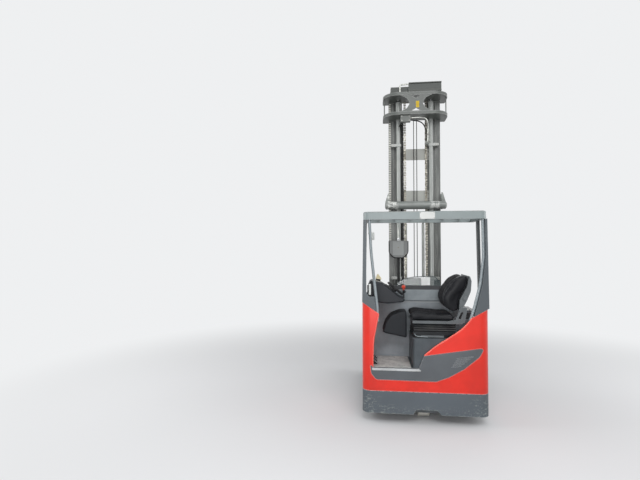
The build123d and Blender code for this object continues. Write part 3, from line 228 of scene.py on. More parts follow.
class Bench:
    """One finish, or the light of the room, while it is being made."""

    def __init__(self, name, blocks=bpy.data.materials):
        self.block = blocks.new(name)
        self.block.use_nodes = True
        self.tree = self.block.node_tree
        self.tree.nodes.clear()
        self.spot = None

    def node(self, kind, settings, *values, output=0, numbered=(), **named):
        """One node, and the output socket of it that is used, if it has any."""
        made = self.tree.nodes.new(kind)
        for key, value in settings.items():
            setattr(made, key, value)
        by_name = [(name.replace("_", " "), value) for name, value in named.items()]
        for socket, value in [*enumerate(values), *numbered, *by_name]:
            if isinstance(value, Wire):
                self.tree.links.new(value.socket, made.inputs[socket])
            else:
                made.inputs[socket].default_value = value
        return Wire(self, made.outputs[output]) if len(made.outputs) else made

    def point(self):
        """The place on the truck, in metres; one node serves the whole bench."""
        if self.spot is None:
            self.spot = self.node("ShaderNodeTexCoord", {}, output="Object")
        return self.spot

    def place(self):
        """The point's three parts: across the truck, along it, and up."""
        split = self.node("ShaderNodeSeparateXYZ", {}, self.point())
        return [Wire(self, socket) for socket in split.socket.node.outputs]

    def stretched(self, x, y, z):
        """The point with each direction scaled, for grain that runs one way."""
        return self.node("ShaderNodeMapping", {}, self.point(), Scale=(x, y, z))

    def speckle(self, scale, detail=3.0, rough=0.55, vector=None):
        """Cloudy noise from 0 to 1."""
        values = {"Vector": vector or self.point(), "Scale": scale, "Detail": detail}
        return self.node("ShaderNodeTexNoise", {}, Roughness=rough, **values)

    def blend(self, amount, first, second):
        """Two colours mixed by an amount; they go to sockets 6 and 7 of a Mix node."""
        colours = ((6, first), (7, second))
        return self.node("ShaderNodeMix", {"data_type": "RGBA"}, amount, numbered=colours, output=2)

    def drift(self, cloud, colour, darker, lighter):
        """A colour that wanders slowly between a darker and a lighter tone of itself."""
        return self.blend(cloud.step(0.3, 0.7), shade(colour, darker), shade(colour, lighter))

    def upward(self):
        """1 on a surface that faces straight up, 0 on a wall."""
        normal = self.node("ShaderNodeNewGeometry", {}, output="Normal")
        return self.node("ShaderNodeSeparateXYZ", {}, normal, output=2).kept()

    def edges(self, width):
        """1 along sharp edges, from how far a rounded normal leans from the true one."""
        bent = self.node("ShaderNodeBevel", {"samples": 4}, width)
        true = self.node("ShaderNodeNewGeometry", {}, output="Normal")
        settings = {"operation": "DOT_PRODUCT"}
        return 1 - self.node("ShaderNodeVectorMath", settings, bent, true, output="Value")

    def seen(self):
        """1 where a ray shows a thing: straight, in a shiny face or through glass."""
        kinds = ("Camera", "Glossy", "Transmission")
        rays = [self.node("ShaderNodeLightPath", {}, output=f"Is {kind} Ray") for kind in kinds]
        return rays[0].most(rays[1]).most(rays[2])

    def relief(self, height, strength, distance):
        """A bumped normal from a height."""
        return self.node("ShaderNodeBump", {}, strength, distance, Height=height)

    def sprayed(self):
        """The fine, slightly uneven skin of sprayed paint."""
        return self.relief(self.speckle(PAINT_GRAIN, 2.0), 0.06, 0.001)

    def pebbled(self, scale=420.0, depth=0.25):
        """The skin of moulded plastic: small cells with soft edges."""
        settings = {"feature": "SMOOTH_F1"}
        cells = self.node("ShaderNodeTexVoronoi", settings, self.point(), Scale=scale)
        return self.relief(cells, depth, 0.0008)

    def finish(self, **sockets):
        """The material, once its surface is joined to the output."""
        surface = self.node("ShaderNodeBsdfPrincipled", {}, **sockets)
        self.node("ShaderNodeOutputMaterial", {}, surface)
        return self.block


print("a finish is made of nodes from one bench")

# %% [markdown]
# A studio for a big machine is a pale floor that runs out to a pale room. The room itself gives
# most of the light, so that each paint shows about as it was mixed. The room's light and the room
# that is seen, straight, through glass or in a shiny face, are two different strengths, told
# apart by the kind of ray that asks.

# %% The pale room
ROOM_LIGHT = 0.34
ROOM_SEEN = (0.86, 0.87, 0.88, 1)
WHITE = (1, 1, 1, 1)
BLACK = (0, 0, 0, 1)
bench = Bench("pale_room", bpy.data.worlds)
lit = bench.node("ShaderNodeBackground", {}, WHITE, ROOM_LIGHT)
shown = bench.node("ShaderNodeBackground", {}, ROOM_SEEN)
either = bench.node("ShaderNodeMixShader", {}, bench.seen(), lit, shown)
bench.node("ShaderNodeOutputWorld", {}, either)
bpy.context.scene.world = bench.block
print("the room gives", ROOM_LIGHT, "of full white light")

# %% [markdown]
# Most of the truck is painted steel, and one recipe serves it all with different numbers. The
# paint's tint drifts slowly over a panel. Fine dust lies where a surface faces up, grime gathers
# near the floor, thin scratches run across, and the paint is rubbed through along sharp edges.
# Dust and rubbed metal also change how rough the surface is, and a fine bump stands for the
# skin of sprayed paint. Where rim is given, a paler tone along the edges is a painted highlight.

# %% Painted steel
def painted(
    name, colour, rough=0.38, dust=0.4, wear_and_edge_highlight=0.5, scuff=0.3, chip=rgb(140, 142, 142), rim=0
):
    """Sprayed paint; dust, wear and scuff say how much there is of each, and rim how strong the
    painted highlight along the edges is.
    """
    bench = Bench(name)
    height = bench.place()[2]
    cloud = bench.speckle(2.5)
    fine = bench.speckle(55.0, 5.0)
    drift = bench.drift(cloud, colour, 0.86, 1.08)
    lines = bench.speckle(9.0, 4.0, vector=bench.stretched(1, 1, 14)).step(0.62, 0.72)
    marks = bench.speckle(16.0, 3.0, vector=bench.stretched(0.5, 0.5, 5)).step(0.64, 0.70)
    scratched = (marks * lines.most(fine.step(0.5, 0.62)) * scuff).kept()
    rubbed = bench.blend(scratched, drift, shade(chip, 0.9))
    settled = (bench.upward() * (cloud.step(0.2, 0.8) * 0.5 + 0.5) * dust).kept()
    dusty = bench.blend(settled, rubbed, DUST)
    low = (1 - height.step(0.05, 0.75)) * bench.speckle(6.0, 6.0).step(0.4, 0.68) * scuff
    grimy = bench.blend(low.kept(), dusty, GRIME)
    # Bare rubbed edges; on the grey insert they also give its louvres pale lines, partly a painted
    # highlight.
    bare = (bench.edges(0.006) * 5 * fine.step(0.42, 0.6) * wear_and_edge_highlight).kept()
    final = bench.blend(bare, grimy, chip)
    # rim paints a paler tone along every edge: a painted highlight for the light that rounded edges
    # catch.
    if rim:
        thin = (bench.edges(0.012) * rim).kept()
        final = bench.blend(thin, final, shade(colour, 1.5, 0.18))
    roughness = (fine * 0.1 + settled * 0.35 + low * 0.2 + rough - 0.05).kept()
    return bench.finish(Base_Color=final, Roughness=roughness, Normal=bench.sprayed())


# rim=4 gives these finishes the painted edge highlight; on the grey insert it also lightens the
# louvres' edges.
body_red = painted("body_red", RED, rough=0.3, dust=0.12, wear_and_edge_highlight=0.3, scuff=0.16,
                   chip=rgb(132, 44, 36), rim=4)
# The lips' paler red is the body's red lightened, a painted highlight along them.
highlight_lip_red = painted("highlight_lip_red", rgb(255, 104, 84), rough=0.25, dust=0.1, wear_and_edge_highlight=0.2, scuff=0.1)
panel_grey = painted("panel_grey", rgb(90, 95, 100), rough=0.42, wear_and_edge_highlight=0.9, scuff=0.3, rim=4)
frame_grey = painted("frame_grey", rgb(82, 88, 92), rough=0.5, wear_and_edge_highlight=0.9, scuff=0.7)
box_grey = painted("box_grey", rgb(108, 111, 111), rough=0.4, dust=0.4, wear_and_edge_highlight=0.5, scuff=0.4)
yoke_grey = painted("yoke_grey", rgb(98, 102, 99), rough=0.42, dust=0.8, wear_and_edge_highlight=1.0, scuff=0.5, rim=4)
head_grey = painted("head_grey", rgb(72, 76, 73), rough=0.5, dust=0.6, wear_and_edge_highlight=1.0, scuff=0.6, rim=4)
cover_grey = painted("cover_grey", rgb(134, 138, 137), rough=0.38, dust=0.3, wear_and_edge_highlight=0.6, scuff=0.4)
tie_grey = painted("tie_grey", rgb(172, 174, 169), rough=0.5, dust=0.5, wear_and_edge_highlight=0.4, scuff=0.6)
cylinder_grey = painted("cylinder_grey", rgb(170, 174, 171), rough=0.2, dust=0.5, scuff=0.5)
battery_black = painted("battery_black", rgb(46, 48, 50), rough=0.5, wear_and_edge_highlight=0.8, scuff=0.6)
fork_black = painted("fork_black", rgb(44, 45, 46), rough=0.42, wear_and_edge_highlight=1.0, scuff=1.0)
hub_grey = painted("hub_grey", rgb(104, 104, 100), rough=0.55, wear_and_edge_highlight=0.7, scuff=0.6)
print("painted finishes:", len(bpy.data.materials))

# %% [markdown]
# Some painted parts are worn in their own way. The skirt is scraped along its lower edge and at
# its corners, where it meets pallets, and its paint line with the red is chipped. The mast's
# rails are dark with oil in their channels and polished pale on the strips where rollers run.
# The guard is pale on its band and dark on its posts, and the tube across the mast is rubbed
# almost white near its ends.

# %% Paint that is worn by place
def scraped(name, colour, chip):
    """Paint scraped at its corners and its lower edge, and chipped along its top."""
    bench = Bench(name)
    across, along, height = bench.place()
    cloud = bench.speckle(2.5)
    base = bench.drift(cloud, colour, 0.92, 1.06)
    streaks = bench.speckle(34.0, 6.0, 0.7, vector=bench.stretched(0.7, 0.7, 1.9)).step(0.54, 0.64)
    nicks = bench.speckle(70.0, 5.0, 0.7).step(0.57, 0.66)
    low = (1 - height.step(0.11, 0.22)) * (across.away().step(0.15, 0.5) * 0.55 + 0.45)
    corner = across.away().step(0.38, 0.60) * (1 - height.step(0.18, 0.36))
    zone = low.most(corner) * (1 - along.step(-1.2, -0.9) * 0.75)
    rubbed = (streaks.most(nicks) * zone * 0.85).kept()
    worn = bench.blend(rubbed, base, chip)
    top = height.step(0.317, 0.325) * bench.speckle(30.0, 6.0, 0.7).step(0.5, 0.56)
    rim = (bench.edges(0.010) * 5 * bench.speckle(45.0, 5.0).step(0.4, 0.52)).kept()
    final = bench.blend((top * 0.8).most(rim).kept(), worn, shade(chip, 1.35))
    rough = (cloud * 0.1 + zone * 0.15 + 0.42).kept()
    skin = bench.relief(bench.speckle(PAINT_GRAIN, 2.0) + nicks * zone, 0.12, 0.001)
    return bench.finish(Base_Color=final, Roughness=rough, Normal=skin)


def rolled_rail(name, colour, polish):
    """Rolled steel: oily in places, polished in fine lines and bare along its edges."""
    bench = Bench(name)
    lines = bench.speckle(110.0, 3.0, vector=bench.stretched(1, 1, 0.02))
    oil = bench.speckle(4.0, 6.0, 0.6, vector=bench.stretched(1.5, 1.5, 0.25)).step(0.45, 0.62)
    base = bench.blend(oil, colour, shade(colour, 0.55))
    tracks = bench.blend((lines.step(0.5, 0.7) * 0.38).kept(), base, polish)
    bare = (bench.edges(0.007) * 5 * bench.speckle(20.0, 4.0).step(0.3, 0.5)).kept()
    final = bench.blend(bare, tracks, polish)
    rough = (lines * 0.2 + oil * 0.1 + 0.28).kept()
    return bench.finish(Base_Color=final, Roughness=rough, Normal=bench.relief(lines, 0.15, 0.001))


def scraped_pillar(name, colour):
    """Grey paint with pale edges and small pale nicks."""
    bench = Bench(name)
    cloud = bench.speckle(3.0)
    base = bench.drift(cloud, colour, 0.92, 1.08)
    pale = (bench.edges(0.008) * 4 * bench.speckle(50.0, 4.0).step(0.4, 0.55)).kept()
    nicks = bench.speckle(38.0, 6.0, 0.7).step(0.66, 0.70)
    final = bench.blend((pale.most(nicks) * 0.6).kept(), base, rgb(164, 170, 172))
    rough = (cloud * 0.1 + 0.45).kept()
    return bench.finish(Base_Color=final, Roughness=rough, Normal=bench.sprayed())


def two_tone_guard(name, colour, dark):
    """Dusty paint on the guard's band, dark paint below it, and pale edges."""
    bench = Bench(name)
    height = bench.place()[2]
    cloud = bench.speckle(3.0)
    base = bench.drift(cloud, colour, 0.93, 1.06)
    dust = (bench.upward() * bench.speckle(7.0, 6.0).step(0.35, 0.65) * 0.5).kept()
    dusty = bench.blend(dust, base, DUST)
    toned = bench.blend(height.step(2.080, 2.090), dark, dusty)
    pale = (bench.edges(0.010) * 3 * bench.speckle(40.0, 4.0).step(0.4, 0.55)).kept()
    final = bench.blend((pale * 0.7).kept(), toned, rgb(178, 186, 188))
    rough = (cloud * 0.1 + 0.33).kept()
    return bench.finish(Base_Color=final, Roughness=rough, Normal=bench.sprayed())


def rubbed_tube(name, colour):
    """Paint that is rubbed almost white on two stretches near the tube's ends."""
    bench = Bench(name)
    across = bench.place()[0]
    cloud = bench.speckle(6.0, 5.0)
    base = bench.blend(cloud.step(0.35, 0.65), shade(colour, 0.8), shade(colour, 1.05))
    left = across.step(-0.36, -0.33) * (1 - across.step(-0.24, -0.20))
    right = across.step(0.16, 0.18) * (1 - across.step(0.27, 0.29)) * 0.7
    rubbed = bench.speckle(24.0, 6.0, 0.7).step(0.42, 0.56)
    final = bench.blend((left.most(right) * rubbed).kept(), base, rgb(228, 230, 226))
    skin = bench.relief(rubbed, 0.1, 0.001)
    return bench.finish(Base_Color=final, Roughness=(cloud * 0.2 + 0.14).kept(), Normal=skin)


skirt_grey = scraped("skirt_grey", rgb(90, 98, 105), rgb(158, 164, 160))
mast_grey = rolled_rail("mast_grey", rgb(98, 101, 99), rgb(180, 182, 177))
pillar_grey = scraped_pillar("pillar_grey", rgb(80, 87, 92))
guard_grey = two_tone_guard("guard_grey", rgb(142, 152, 153), rgb(56, 60, 62))
tube_grey = rubbed_tube("tube_grey", rgb(142, 147, 144))
print("finishes that know their place end in", tube_grey.name)

# %% [markdown]
# Bare metal keeps its shine from the shader. Rods, bolts, chains and pipes could each have their
# own network, but they differ only in colour, in how their fine lines run and in how much dirt
# has settled in them, so one recipe with these as values makes them all.

# %% Bare metal
def bare_metal(name, colour, rough, grain, dirt):
    """Bare metal with fine lines that run as grain says, dull where dirt has settled."""
    bench = Bench(name)
    lines = bench.speckle(40.0, 4.0, vector=bench.stretched(*grain))
    cloud = bench.speckle(5.0, 5.0)
    dull = (cloud.step(0.4, 0.75) * dirt).kept()
    tint = bench.blend(lines.step(0.3, 0.7), shade(colour, 0.82), colour)
    final = bench.blend(dull, tint, shade(GRIME, 1.6))
    roughness = (lines * 0.14 + dull * 0.4 + rough - 0.07).kept()
    metal = (1 - dull * 0.8).kept()
    line_relief = bench.relief(lines, 0.12, 0.001)
    return bench.finish(Base_Color=final, Roughness=roughness, Metallic=metal, Normal=line_relief)


bright_tube = painted("bright_tube", rgb(142, 152, 157), rough=0.24, dust=0, wear_and_edge_highlight=0.8, scuff=0.5)
strip_metal = painted("strip_metal", rgb(214, 218, 220), rough=0.3, dust=0, wear_and_edge_highlight=0.6, scuff=0.9)
rod_chrome = bare_metal("rod_chrome", rgb(214, 216, 218), 0.16, (1, 1, 0.3), 0.15)
bolt_steel = bare_metal("bolt_steel", rgb(150, 150, 146), 0.38, (1, 1, 1), 0.5)
chain_steel = bare_metal("chain_steel", rgb(132, 130, 124), 0.42, (1, 1, 1), 0.7)
pipe_zinc = bare_metal("pipe_zinc", rgb(216, 218, 212), 0.36, (1, 1, 0.3), 0.3)
print("bare metals end in", pipe_zinc.name)

# %% [markdown]
# Moulded plastic and rubber have a pebbled skin. A cell texture gives the pebbles their clear
# edges, and noise keeps them from being too even. Edges are paler where hands and shoes rub them.
# On the knee pad the strong pale edge is also a painted highlight over the shade of its outline.

# %% Plastic and rubber
def moulded(name, colour, rough=0.55, pebble=420.0, depth=0.25, dust=0.3, wear_and_edge_highlight=0.2):
    """Moulded plastic or rubber; pebble is how many pebbles a metre holds."""
    bench = Bench(name)
    cloud = bench.speckle(7.0, 5.0)
    drift = bench.drift(cloud, colour, 0.85, 1.12)
    settled = (bench.upward() * cloud.step(0.3, 0.75) * dust).kept()
    dusty = bench.blend(settled, drift, DUST)
    # Pale edges: rubbing wear, and where the amount is high, as on the knee pad, a painted
    # highlight as well.
    pale = (bench.edges(0.008) * 4 * wear_and_edge_highlight).kept()
    final = bench.blend(pale, dusty, shade(colour, 2.2))
    roughness = (cloud * 0.16 + settled * 0.3 + rough - 0.08).kept()
    skin = bench.pebbled(pebble, depth)
    return bench.finish(
        Base_Color=final, Roughness=roughness, Normal=skin, Specular_IOR_Level=0.2
    )


cab_plastic = moulded("cab_plastic", rgb(104, 110, 116), 0.5)
pedestal_plastic = moulded("pedestal_plastic", rgb(82, 88, 93), 0.42, dust=0.15)
pod_plastic = moulded("pod_plastic", rgb(36, 39, 44), 0.4, dust=0, wear_and_edge_highlight=0.5)
dark_plastic = moulded("dark_plastic", rgb(30, 32, 35), 0.45, dust=0.1)
# The knee pad's strong pale edges are a painted highlight that lightens the shade round its
# outline.
knee_plastic = moulded("knee_plastic", rgb(40, 43, 47), 0.55, dust=0.1, wear_and_edge_highlight=1.2)
seat_plastic = moulded("seat_plastic", rgb(104, 109, 112), 0.4, dust=0.1)
wheel_rubber = moulded("wheel_rubber", rgb(24, 25, 27), 0.45, dust=0.05)
bellows_rubber = moulded("bellows_rubber", rgb(34, 36, 39), 0.38, 260.0, 0.3, dust=0.35, wear_and_edge_highlight=0.8)
hose_rubber = moulded("hose_rubber", rgb(34, 35, 36), 0.5, 200.0, 0.3, dust=0.3)
lamp_white = moulded("lamp_white", rgb(214, 218, 216), 0.35, 300.0, 0.05, dust=0.1)
print("plastics end in", lamp_white.name)

# %% [markdown]
# The floor mat is trodden pale by dusty shoes. It could carry a picture of real dirt, but noise at
# two scales does it without one: broad patches where feet stand, and small dark smudges on them.
# A sine wave along the truck gives the ribs. Colour and bump both use it, so they always agree.

# %% The floor mat
MAT_RIBS = 210
bench = Bench("mat_rubber")
along = bench.place()[1]
ribs = (along * MAT_RIBS).wave().step(-0.2, 0.6)
trodden = bench.speckle(6.0, 7.0, 0.72).step(0.34, 0.62)
sandy = bench.blend(trodden, rgb(178, 181, 180), rgb(230, 231, 227))
grooves = bench.blend(((1 - ribs) * 0.22).kept(), sandy, rgb(112, 115, 116))
smudges = bench.speckle(22.0, 7.0, 0.75).step(0.55, 0.66)
matted = bench.blend((smudges * 0.5).kept(), grooves, rgb(118, 120, 119))
mat_relief = bench.relief(ribs + bench.speckle(90.0, 3.0) * 0.4, 0.4, 0.002)
mat_rubber = bench.finish(Base_Color=matted, Roughness=0.8, Normal=mat_relief)
print("the mat has ribs every", round(2 * math.pi / MAT_RIBS * 1000), "mm")

# %% [markdown]
# Two solids change their finish with height. The wall behind the controls is one moulding in
# three tones: a dark rail on top, a paler band, and the wall itself. A pale line on the wall, under
# the band, is a painted highlight along its ledge.
# The knob is red only on its head. Both finishes read the height on the truck, in metres.

# %% Finishes that change with height
LEDGE_FOOT = 1.170
LEDGE_TOP = 1.180
BAND_FOOT = 1.193
RAIL_FOOT = 1.3175
HEAD_FOOT = 1.318
BLUR = 0.002
bench = Bench("wall_plastic")
level = bench.place()[2]
cloud = bench.speckle(7.0, 5.0)
tones = cloud.step(0.3, 0.7)
wall_tone = bench.blend(tones, rgb(122, 128, 133), rgb(140, 147, 153))
band_tone = bench.blend(tones, rgb(118, 126, 130), rgb(136, 144, 149))
lower = bench.blend(level.step(BAND_FOOT, BAND_FOOT + 0.0015), wall_tone, band_tone)
# A pale line along the ledge: a painted highlight.
line = level.step(LEDGE_FOOT, LEDGE_FOOT + BLUR) * (1 - level.step(LEDGE_TOP, LEDGE_TOP + BLUR))
ledge_highlighted = bench.blend((line * 0.8).kept(), lower, rgb(172, 178, 180))
topped = bench.blend(level.step(RAIL_FOOT, RAIL_FOOT + BLUR), ledge_highlighted, rgb(32, 34, 38))
wall_rough = (cloud * 0.16 + 0.5).kept()
wall_plastic = bench.finish(Base_Color=topped, Roughness=wall_rough, Normal=bench.pebbled())

bench = Bench("knob_red")
level = bench.place()[2]
smear = bench.speckle(60.0, 4.0).step(0.4, 0.7)
head = bench.blend(smear, rgb(214, 66, 38), rgb(176, 52, 34))
two_tone = bench.blend(level.step(HEAD_FOOT, HEAD_FOOT + BLUR), rgb(30, 31, 33), head)
knob_red = bench.finish(Base_Color=two_tone, Roughness=(smear * 0.15 + 0.3).kept())
print("the knob's head starts at", HEAD_FOOT, "m")

# %% [markdown]
# The seat's cover is a knitted cloth on the wearing surfaces with smooth vinyl sides. Sheen gives
# the soft pale edge that cloth shows when it is seen at a flat angle. The tyres are cast
# polyurethane, pale where they roll and nicked all over. The screen is a thin clear sheet with
# fine scratches, mostly see-through.

# %% Seat cover, tyres and clear sheet
def cloth_cover(name, colour, thread):
    """Knitted cloth; thread is how fast the knit waves, in radians a metre."""
    bench = Bench(name)
    x, y, z = bench.place()
    weave = ((x * thread).wave() * (y * thread).wave() + (z * thread).wave() * 0.5).step(-0.6, 0.9)
    cloud = bench.speckle(9.0, 5.0)
    worn = bench.blend(cloud.step(0.35, 0.7), colour, shade(colour, 1.25))
    lint = bench.speckle(130.0, 2.0).step(0.70, 0.78) * 0.3
    flecked = bench.blend(lint.kept(), worn, rgb(120, 118, 114))
    knit = bench.relief(weave + cloud * 0.6, 0.35, 0.0012)
    rough = (cloud * 0.2 + 0.72).kept()
    return bench.finish(
        Base_Color=flecked, Roughness=rough, Normal=knit, Sheen_Weight=0.03, Sheen_Roughness=0.4,
        Specular_IOR_Level=0.12
    )


seat_cloth = cloth_cover("seat_cloth", rgb(22, 21, 25), thread=1500)
seat_vinyl = moulded("seat_vinyl", rgb(20, 21, 25), 0.42, 500.0, 0.2, dust=0, wear_and_edge_highlight=0.05)
seam_thread = moulded("seam_thread", rgb(98, 100, 104), 0.6, 900.0, 0.2, dust=0.1)


def tyre_tread(name, colour):
    """Cast polyurethane, darker in places and nicked all over."""
    bench = Bench(name)
    nicks = bench.speckle(34.0, 6.0, 0.7).step(0.58, 0.68)
    rolled = bench.drift(bench.speckle(6.0, 4.0), colour, 0.78, 1)
    dirty = bench.blend((nicks * 0.5).kept(), rolled, rgb(104, 98, 88))
    cuts = bench.relief(1 - nicks, 0.4, 0.002)
    return bench.finish(Base_Color=dirty, Roughness=0.62, Normal=cuts)


tyre_tan = tyre_tread("tyre_tan", rgb(240, 238, 230))
bench = Bench("screen_clear")
rubs = bench.speckle(30.0, 5.0, vector=bench.stretched(1, 1, 6)).step(0.56, 0.7)
veil = (rubs * 0.10 + 0.30).kept()
haze = bench.blend(rubs, rgb(96, 108, 110), rgb(176, 186, 186))
screen_clear = bench.finish(
    Base_Color=haze, Roughness=(rubs * 0.2 + 0.05).kept(), Alpha=veil, Coat_Weight=1.0
)
print("finishes made:", len(bpy.data.materials))

# %% [markdown]
# Each solid of the frame now gets its finish. Only the material is set, and the solid's own shape
# stays as it is. A table of names and finishes is easy to read and to change.

# %% Finishes on the frame
FINISH = {
    "rear_skirt": skirt_grey, "body_shell": body_red, "body_insert": panel_grey,
    "step_strip": strip_metal, "chassis_frame": frame_grey, "cab_floor": cab_plastic,
    "floor_mat": mat_rubber, "front_wall": wall_plastic, "seat_pedestal": pedestal_plastic,
    "seat_base": bellows_rubber, "seat_pan": seat_plastic, "seat_cushion": seat_vinyl,
    "seat_back": seat_vinyl, "steering_pod": pod_plastic, "steering_wheel": wheel_rubber,
    "stop_knob": knob_red, "clear_screen": screen_clear, "knee_pad": knee_plastic,
    "pedals": dark_plastic, "rear_pillars": pillar_grey, "grab_tubes": bright_tube,
    "guard_roof": guard_grey, "battery": battery_black, "battery_hood": panel_grey,
    "support_legs": frame_grey, "drive_tyre": tyre_tan, "drive_hub": hub_grey,
    "drive_unit": hub_grey, "outer_rails": mast_grey, "reach_carriage": mast_grey,
    "reach_barrel": cylinder_grey, "reach_rod": rod_chrome, "mast_yoke": yoke_grey,
    "cross_tube": tube_grey, "lift_barrels": cylinder_grey, "hose_box": box_grey,
    "middle_rails": mast_grey, "middle_head": head_grey, "lift_rods": rod_chrome,
    "lift_chains": chain_steel, "inner_rails": mast_grey, "inner_ties": tie_grey,
    "free_lift_barrels": cylinder_grey, "free_lift_head": hub_grey,
    "fork_carriage": yoke_grey, "side_shifter": yoke_grey, "fork_frame": yoke_grey,
    "forks": fork_black, "load_tyre_left": tyre_tan, "load_tyre_right": tyre_tan,
    "load_hub_left": hub_grey, "load_hub_right": hub_grey,
}
for name, finish in FINISH.items():
    data = nodes[name].data
    data.materials.clear()
    data.materials.append(finish)
print("nodes with no finish:", sorted(set(nodes) - set(FINISH)))

# %% [markdown]
# The stage is a very large plain floor that stays pale for the camera while it gives the truck
# only a soft, modest light from below. It keeps the truck's shadow. Far out it turns into the
# room's own tone, so that no horizon cuts through the picture.

# %% Floor
FLOOR_SIZE = 60
FADE_START = 1.5
FADE_END = 6.0
bench = Bench("studio_floor")
shows = bench.seen()
near_tint = bench.blend(shows, rgb(118, 118, 118), rgb(218, 219, 221))
x, y, _ = bench.place()
far = ((x * x + y * y) ** 0.5).step(FADE_START, FADE_END)
floor_tint = bench.blend(far, near_tint, BLACK)
glow = bench.blend((far * shows).kept(), BLACK, ROOM_SEEN)
studio_floor = bench.finish(
    Base_Color=floor_tint, Roughness=0.9, Emission_Color=glow, Emission_Strength=1.0,
    Specular_IOR_Level=0.0
)
floor_data = bpy.data.meshes.new("studio_floor")
half = FLOOR_SIZE / 2
floor_corners = [(-half, -half, 0), (half, -half, 0), (half, half, 0), (-half, half, 0)]
floor_data.from_pydata(floor_corners, [], [(0, 1, 2, 3)])
floor_data.materials.append(studio_floor)
floor = bpy.data.objects.new("studio_floor", floor_data)
bpy.context.scene.collection.objects.link(floor)
print("the floor is", FLOOR_SIZE, "metres square")

# %% [markdown]
# Small pieces come from a handful of helpers. Each one takes places on the drawing, makes one
# mesh or curve, gives it a finish and lets it ride on a body of the truck. `solid` extrudes an
# outline, `slab` makes a plain block, and `pipe` bends a round bar along points.

# %% Helpers for pieces
def add_piece(name, data, finish, body, bevel=0):
    """A piece that rides on a body; a bevel in millimetres rounds its edges."""
    data.materials.append(finish)
    piece = bpy.data.objects.new(name, data)
    bpy.context.scene.collection.objects.link(piece)
    if bevel:
        rounding = piece.modifiers.new("rounding", "BEVEL")
        rounding.width = bevel / 1000
        rounding.segments = 2
        rounding.limit_method = "ANGLE"
        rounding.harden_normals = True
    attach(piece, body)
    return piece


def mesh_piece(name, mesh, finish, body, bevel=0):
    """The piece that a mesh under construction becomes."""
    data = bpy.data.meshes.new(name)
    mesh.to_mesh(data)
    mesh.free()
    return add_piece(name, data, finish, body, bevel)


def bridge(mesh, low, high):
    """Faces between two rings of points."""
    for index in range(len(low)):
        mesh.faces.new((low[index - 1], low[index], high[index], high[index - 1]))


def solid(name, outline, first, last, axis, finish, body, bevel=1.5):
    """An outline of two coordinates, given depth along the third axis, in millimetres."""
    mesh = bmesh.new()
    ends = []
    for depth in (first, last):
        places = [(a, depth, b) if axis == "y" else (a, b, depth) for a, b in outline]
        ends.append([mesh.verts.new(at(*place)) for place in places])
    mesh.faces.new(ends[0])
    mesh.faces.new(reversed(ends[1]))
    bridge(mesh, *ends)
    bmesh.ops.recalc_face_normals(mesh, faces=mesh.faces)
    return mesh_piece(name, mesh, finish, body, bevel)


def slab(name, x, y, z, finish, body, bevel=1.5):
    """A block between three pairs of millimetres, as a piece of its own."""
    outline = [(x[0], y[0]), (x[1], y[0]), (x[1], y[1]), (x[0], y[1])]
    return solid(name, outline, z[0], z[1], "z", finish, body, bevel)


def bar(name, spots, radius, finish, body, kind="POLY", sides=2, closed=False):
    """A round bar along spots in metres, as a closed loop or with closed ends."""
    curve = bpy.data.curves.new(name, "CURVE")
    curve.dimensions = "3D"
    curve.bevel_depth = radius
    curve.bevel_resolution = sides
    curve.use_fill_caps = not closed
    curve.resolution_u = 6
    line = curve.splines.new(kind)
    line.points.add(len(spots) - 1)
    for point, spot in zip(line.points, spots):
        point.co = (*spot, 1)
    line.use_cyclic_u = closed
    if kind == "NURBS":
        line.order_u = 3
        line.use_endpoint_u = True
    return add_piece(name, curve, finish, body)


def pipe(name, points, radius, finish, body, kind="NURBS", sides=4):
    """A round bar along points in millimetres."""
    return bar(name, [at(*point) for point in points], radius / 1000, finish, body, kind, sides)


print("helpers are ready")

# %% [markdown]
# Blocks, discs and bolts are added to a mesh under construction, so that many of them make one
# piece. A bolt is a washer and a hexagon, both sized from the radius of its head.

# %% Blocks, discs and bolts
BLOCK_FACES = ((0, 2, 3, 1), (4, 5, 7, 6), (0, 1, 5, 4), (2, 6, 7, 3), (0, 4, 6, 2), (1, 3, 7, 5))
UP = (0, 0, 1)
DOWN = (0, 0, -1)
REARWARD = (0, -1, 0)
RIGHTWARD = (1, 0, 0)
WASHER_WIDTH = 1.55
WASHER_HEIGHT = 0.25
HEAD_HEIGHT = 0.95


def add_block(mesh, x, y, z, place=at):
    """A plain block between three pairs of millimetres."""
    corners = [mesh.verts.new(place(a, b, c)) for c in z for b in y for a in x]
    for face in BLOCK_FACES:
        mesh.faces.new([corners[index] for index in face])


def circle(sides, shift=0.0):
    """The cosine and sine of even steps round a circle."""
    angles = [2 * math.pi * (index + shift) / sides for index in range(sides)]
    return [(math.cos(angle), math.sin(angle)) for angle in angles]


def disc(mesh, centre, axis, radius, height, sides, inset=1.0):
    """A short chamfered prism about an axis; sizes in millimetres."""
    turn = Vector(axis).to_track_quat("Z", "Y")
    rings = []
    for up, size in ((0, radius), (height - inset, radius), (height, radius - inset)):
        spots = [Vector((size * a, size * b, up)) / 1000 for a, b in circle(sides, 0.5)]
        rings.append([mesh.verts.new(at(*centre) + turn @ spot) for spot in spots])
    mesh.faces.new(reversed(rings[0]))
    mesh.faces.new(rings[-1])
    for low, high in zip(rings, rings[1:]):
        bridge(mesh, low, high)


def fittings(name, discs, finish, body):
    """Several discs in one piece; each is given by the values that disc takes."""
    mesh = bmesh.new()
    for values in discs:
        disc(mesh, *values)
    return mesh_piece(name, mesh, finish, body)


def fasteners(name, places, axis, radius, body, finish=bolt_steel):
    """Hexagon bolts with washers, all in one piece."""
    discs = []
    for place in places:
        discs.append((place, axis, radius * WASHER_WIDTH, radius * WASHER_HEIGHT, 16, 0.3))
        discs.append((place, axis, radius, radius * HEAD_HEIGHT, 6, 0.8))
    return fittings(name, discs, finish, body)


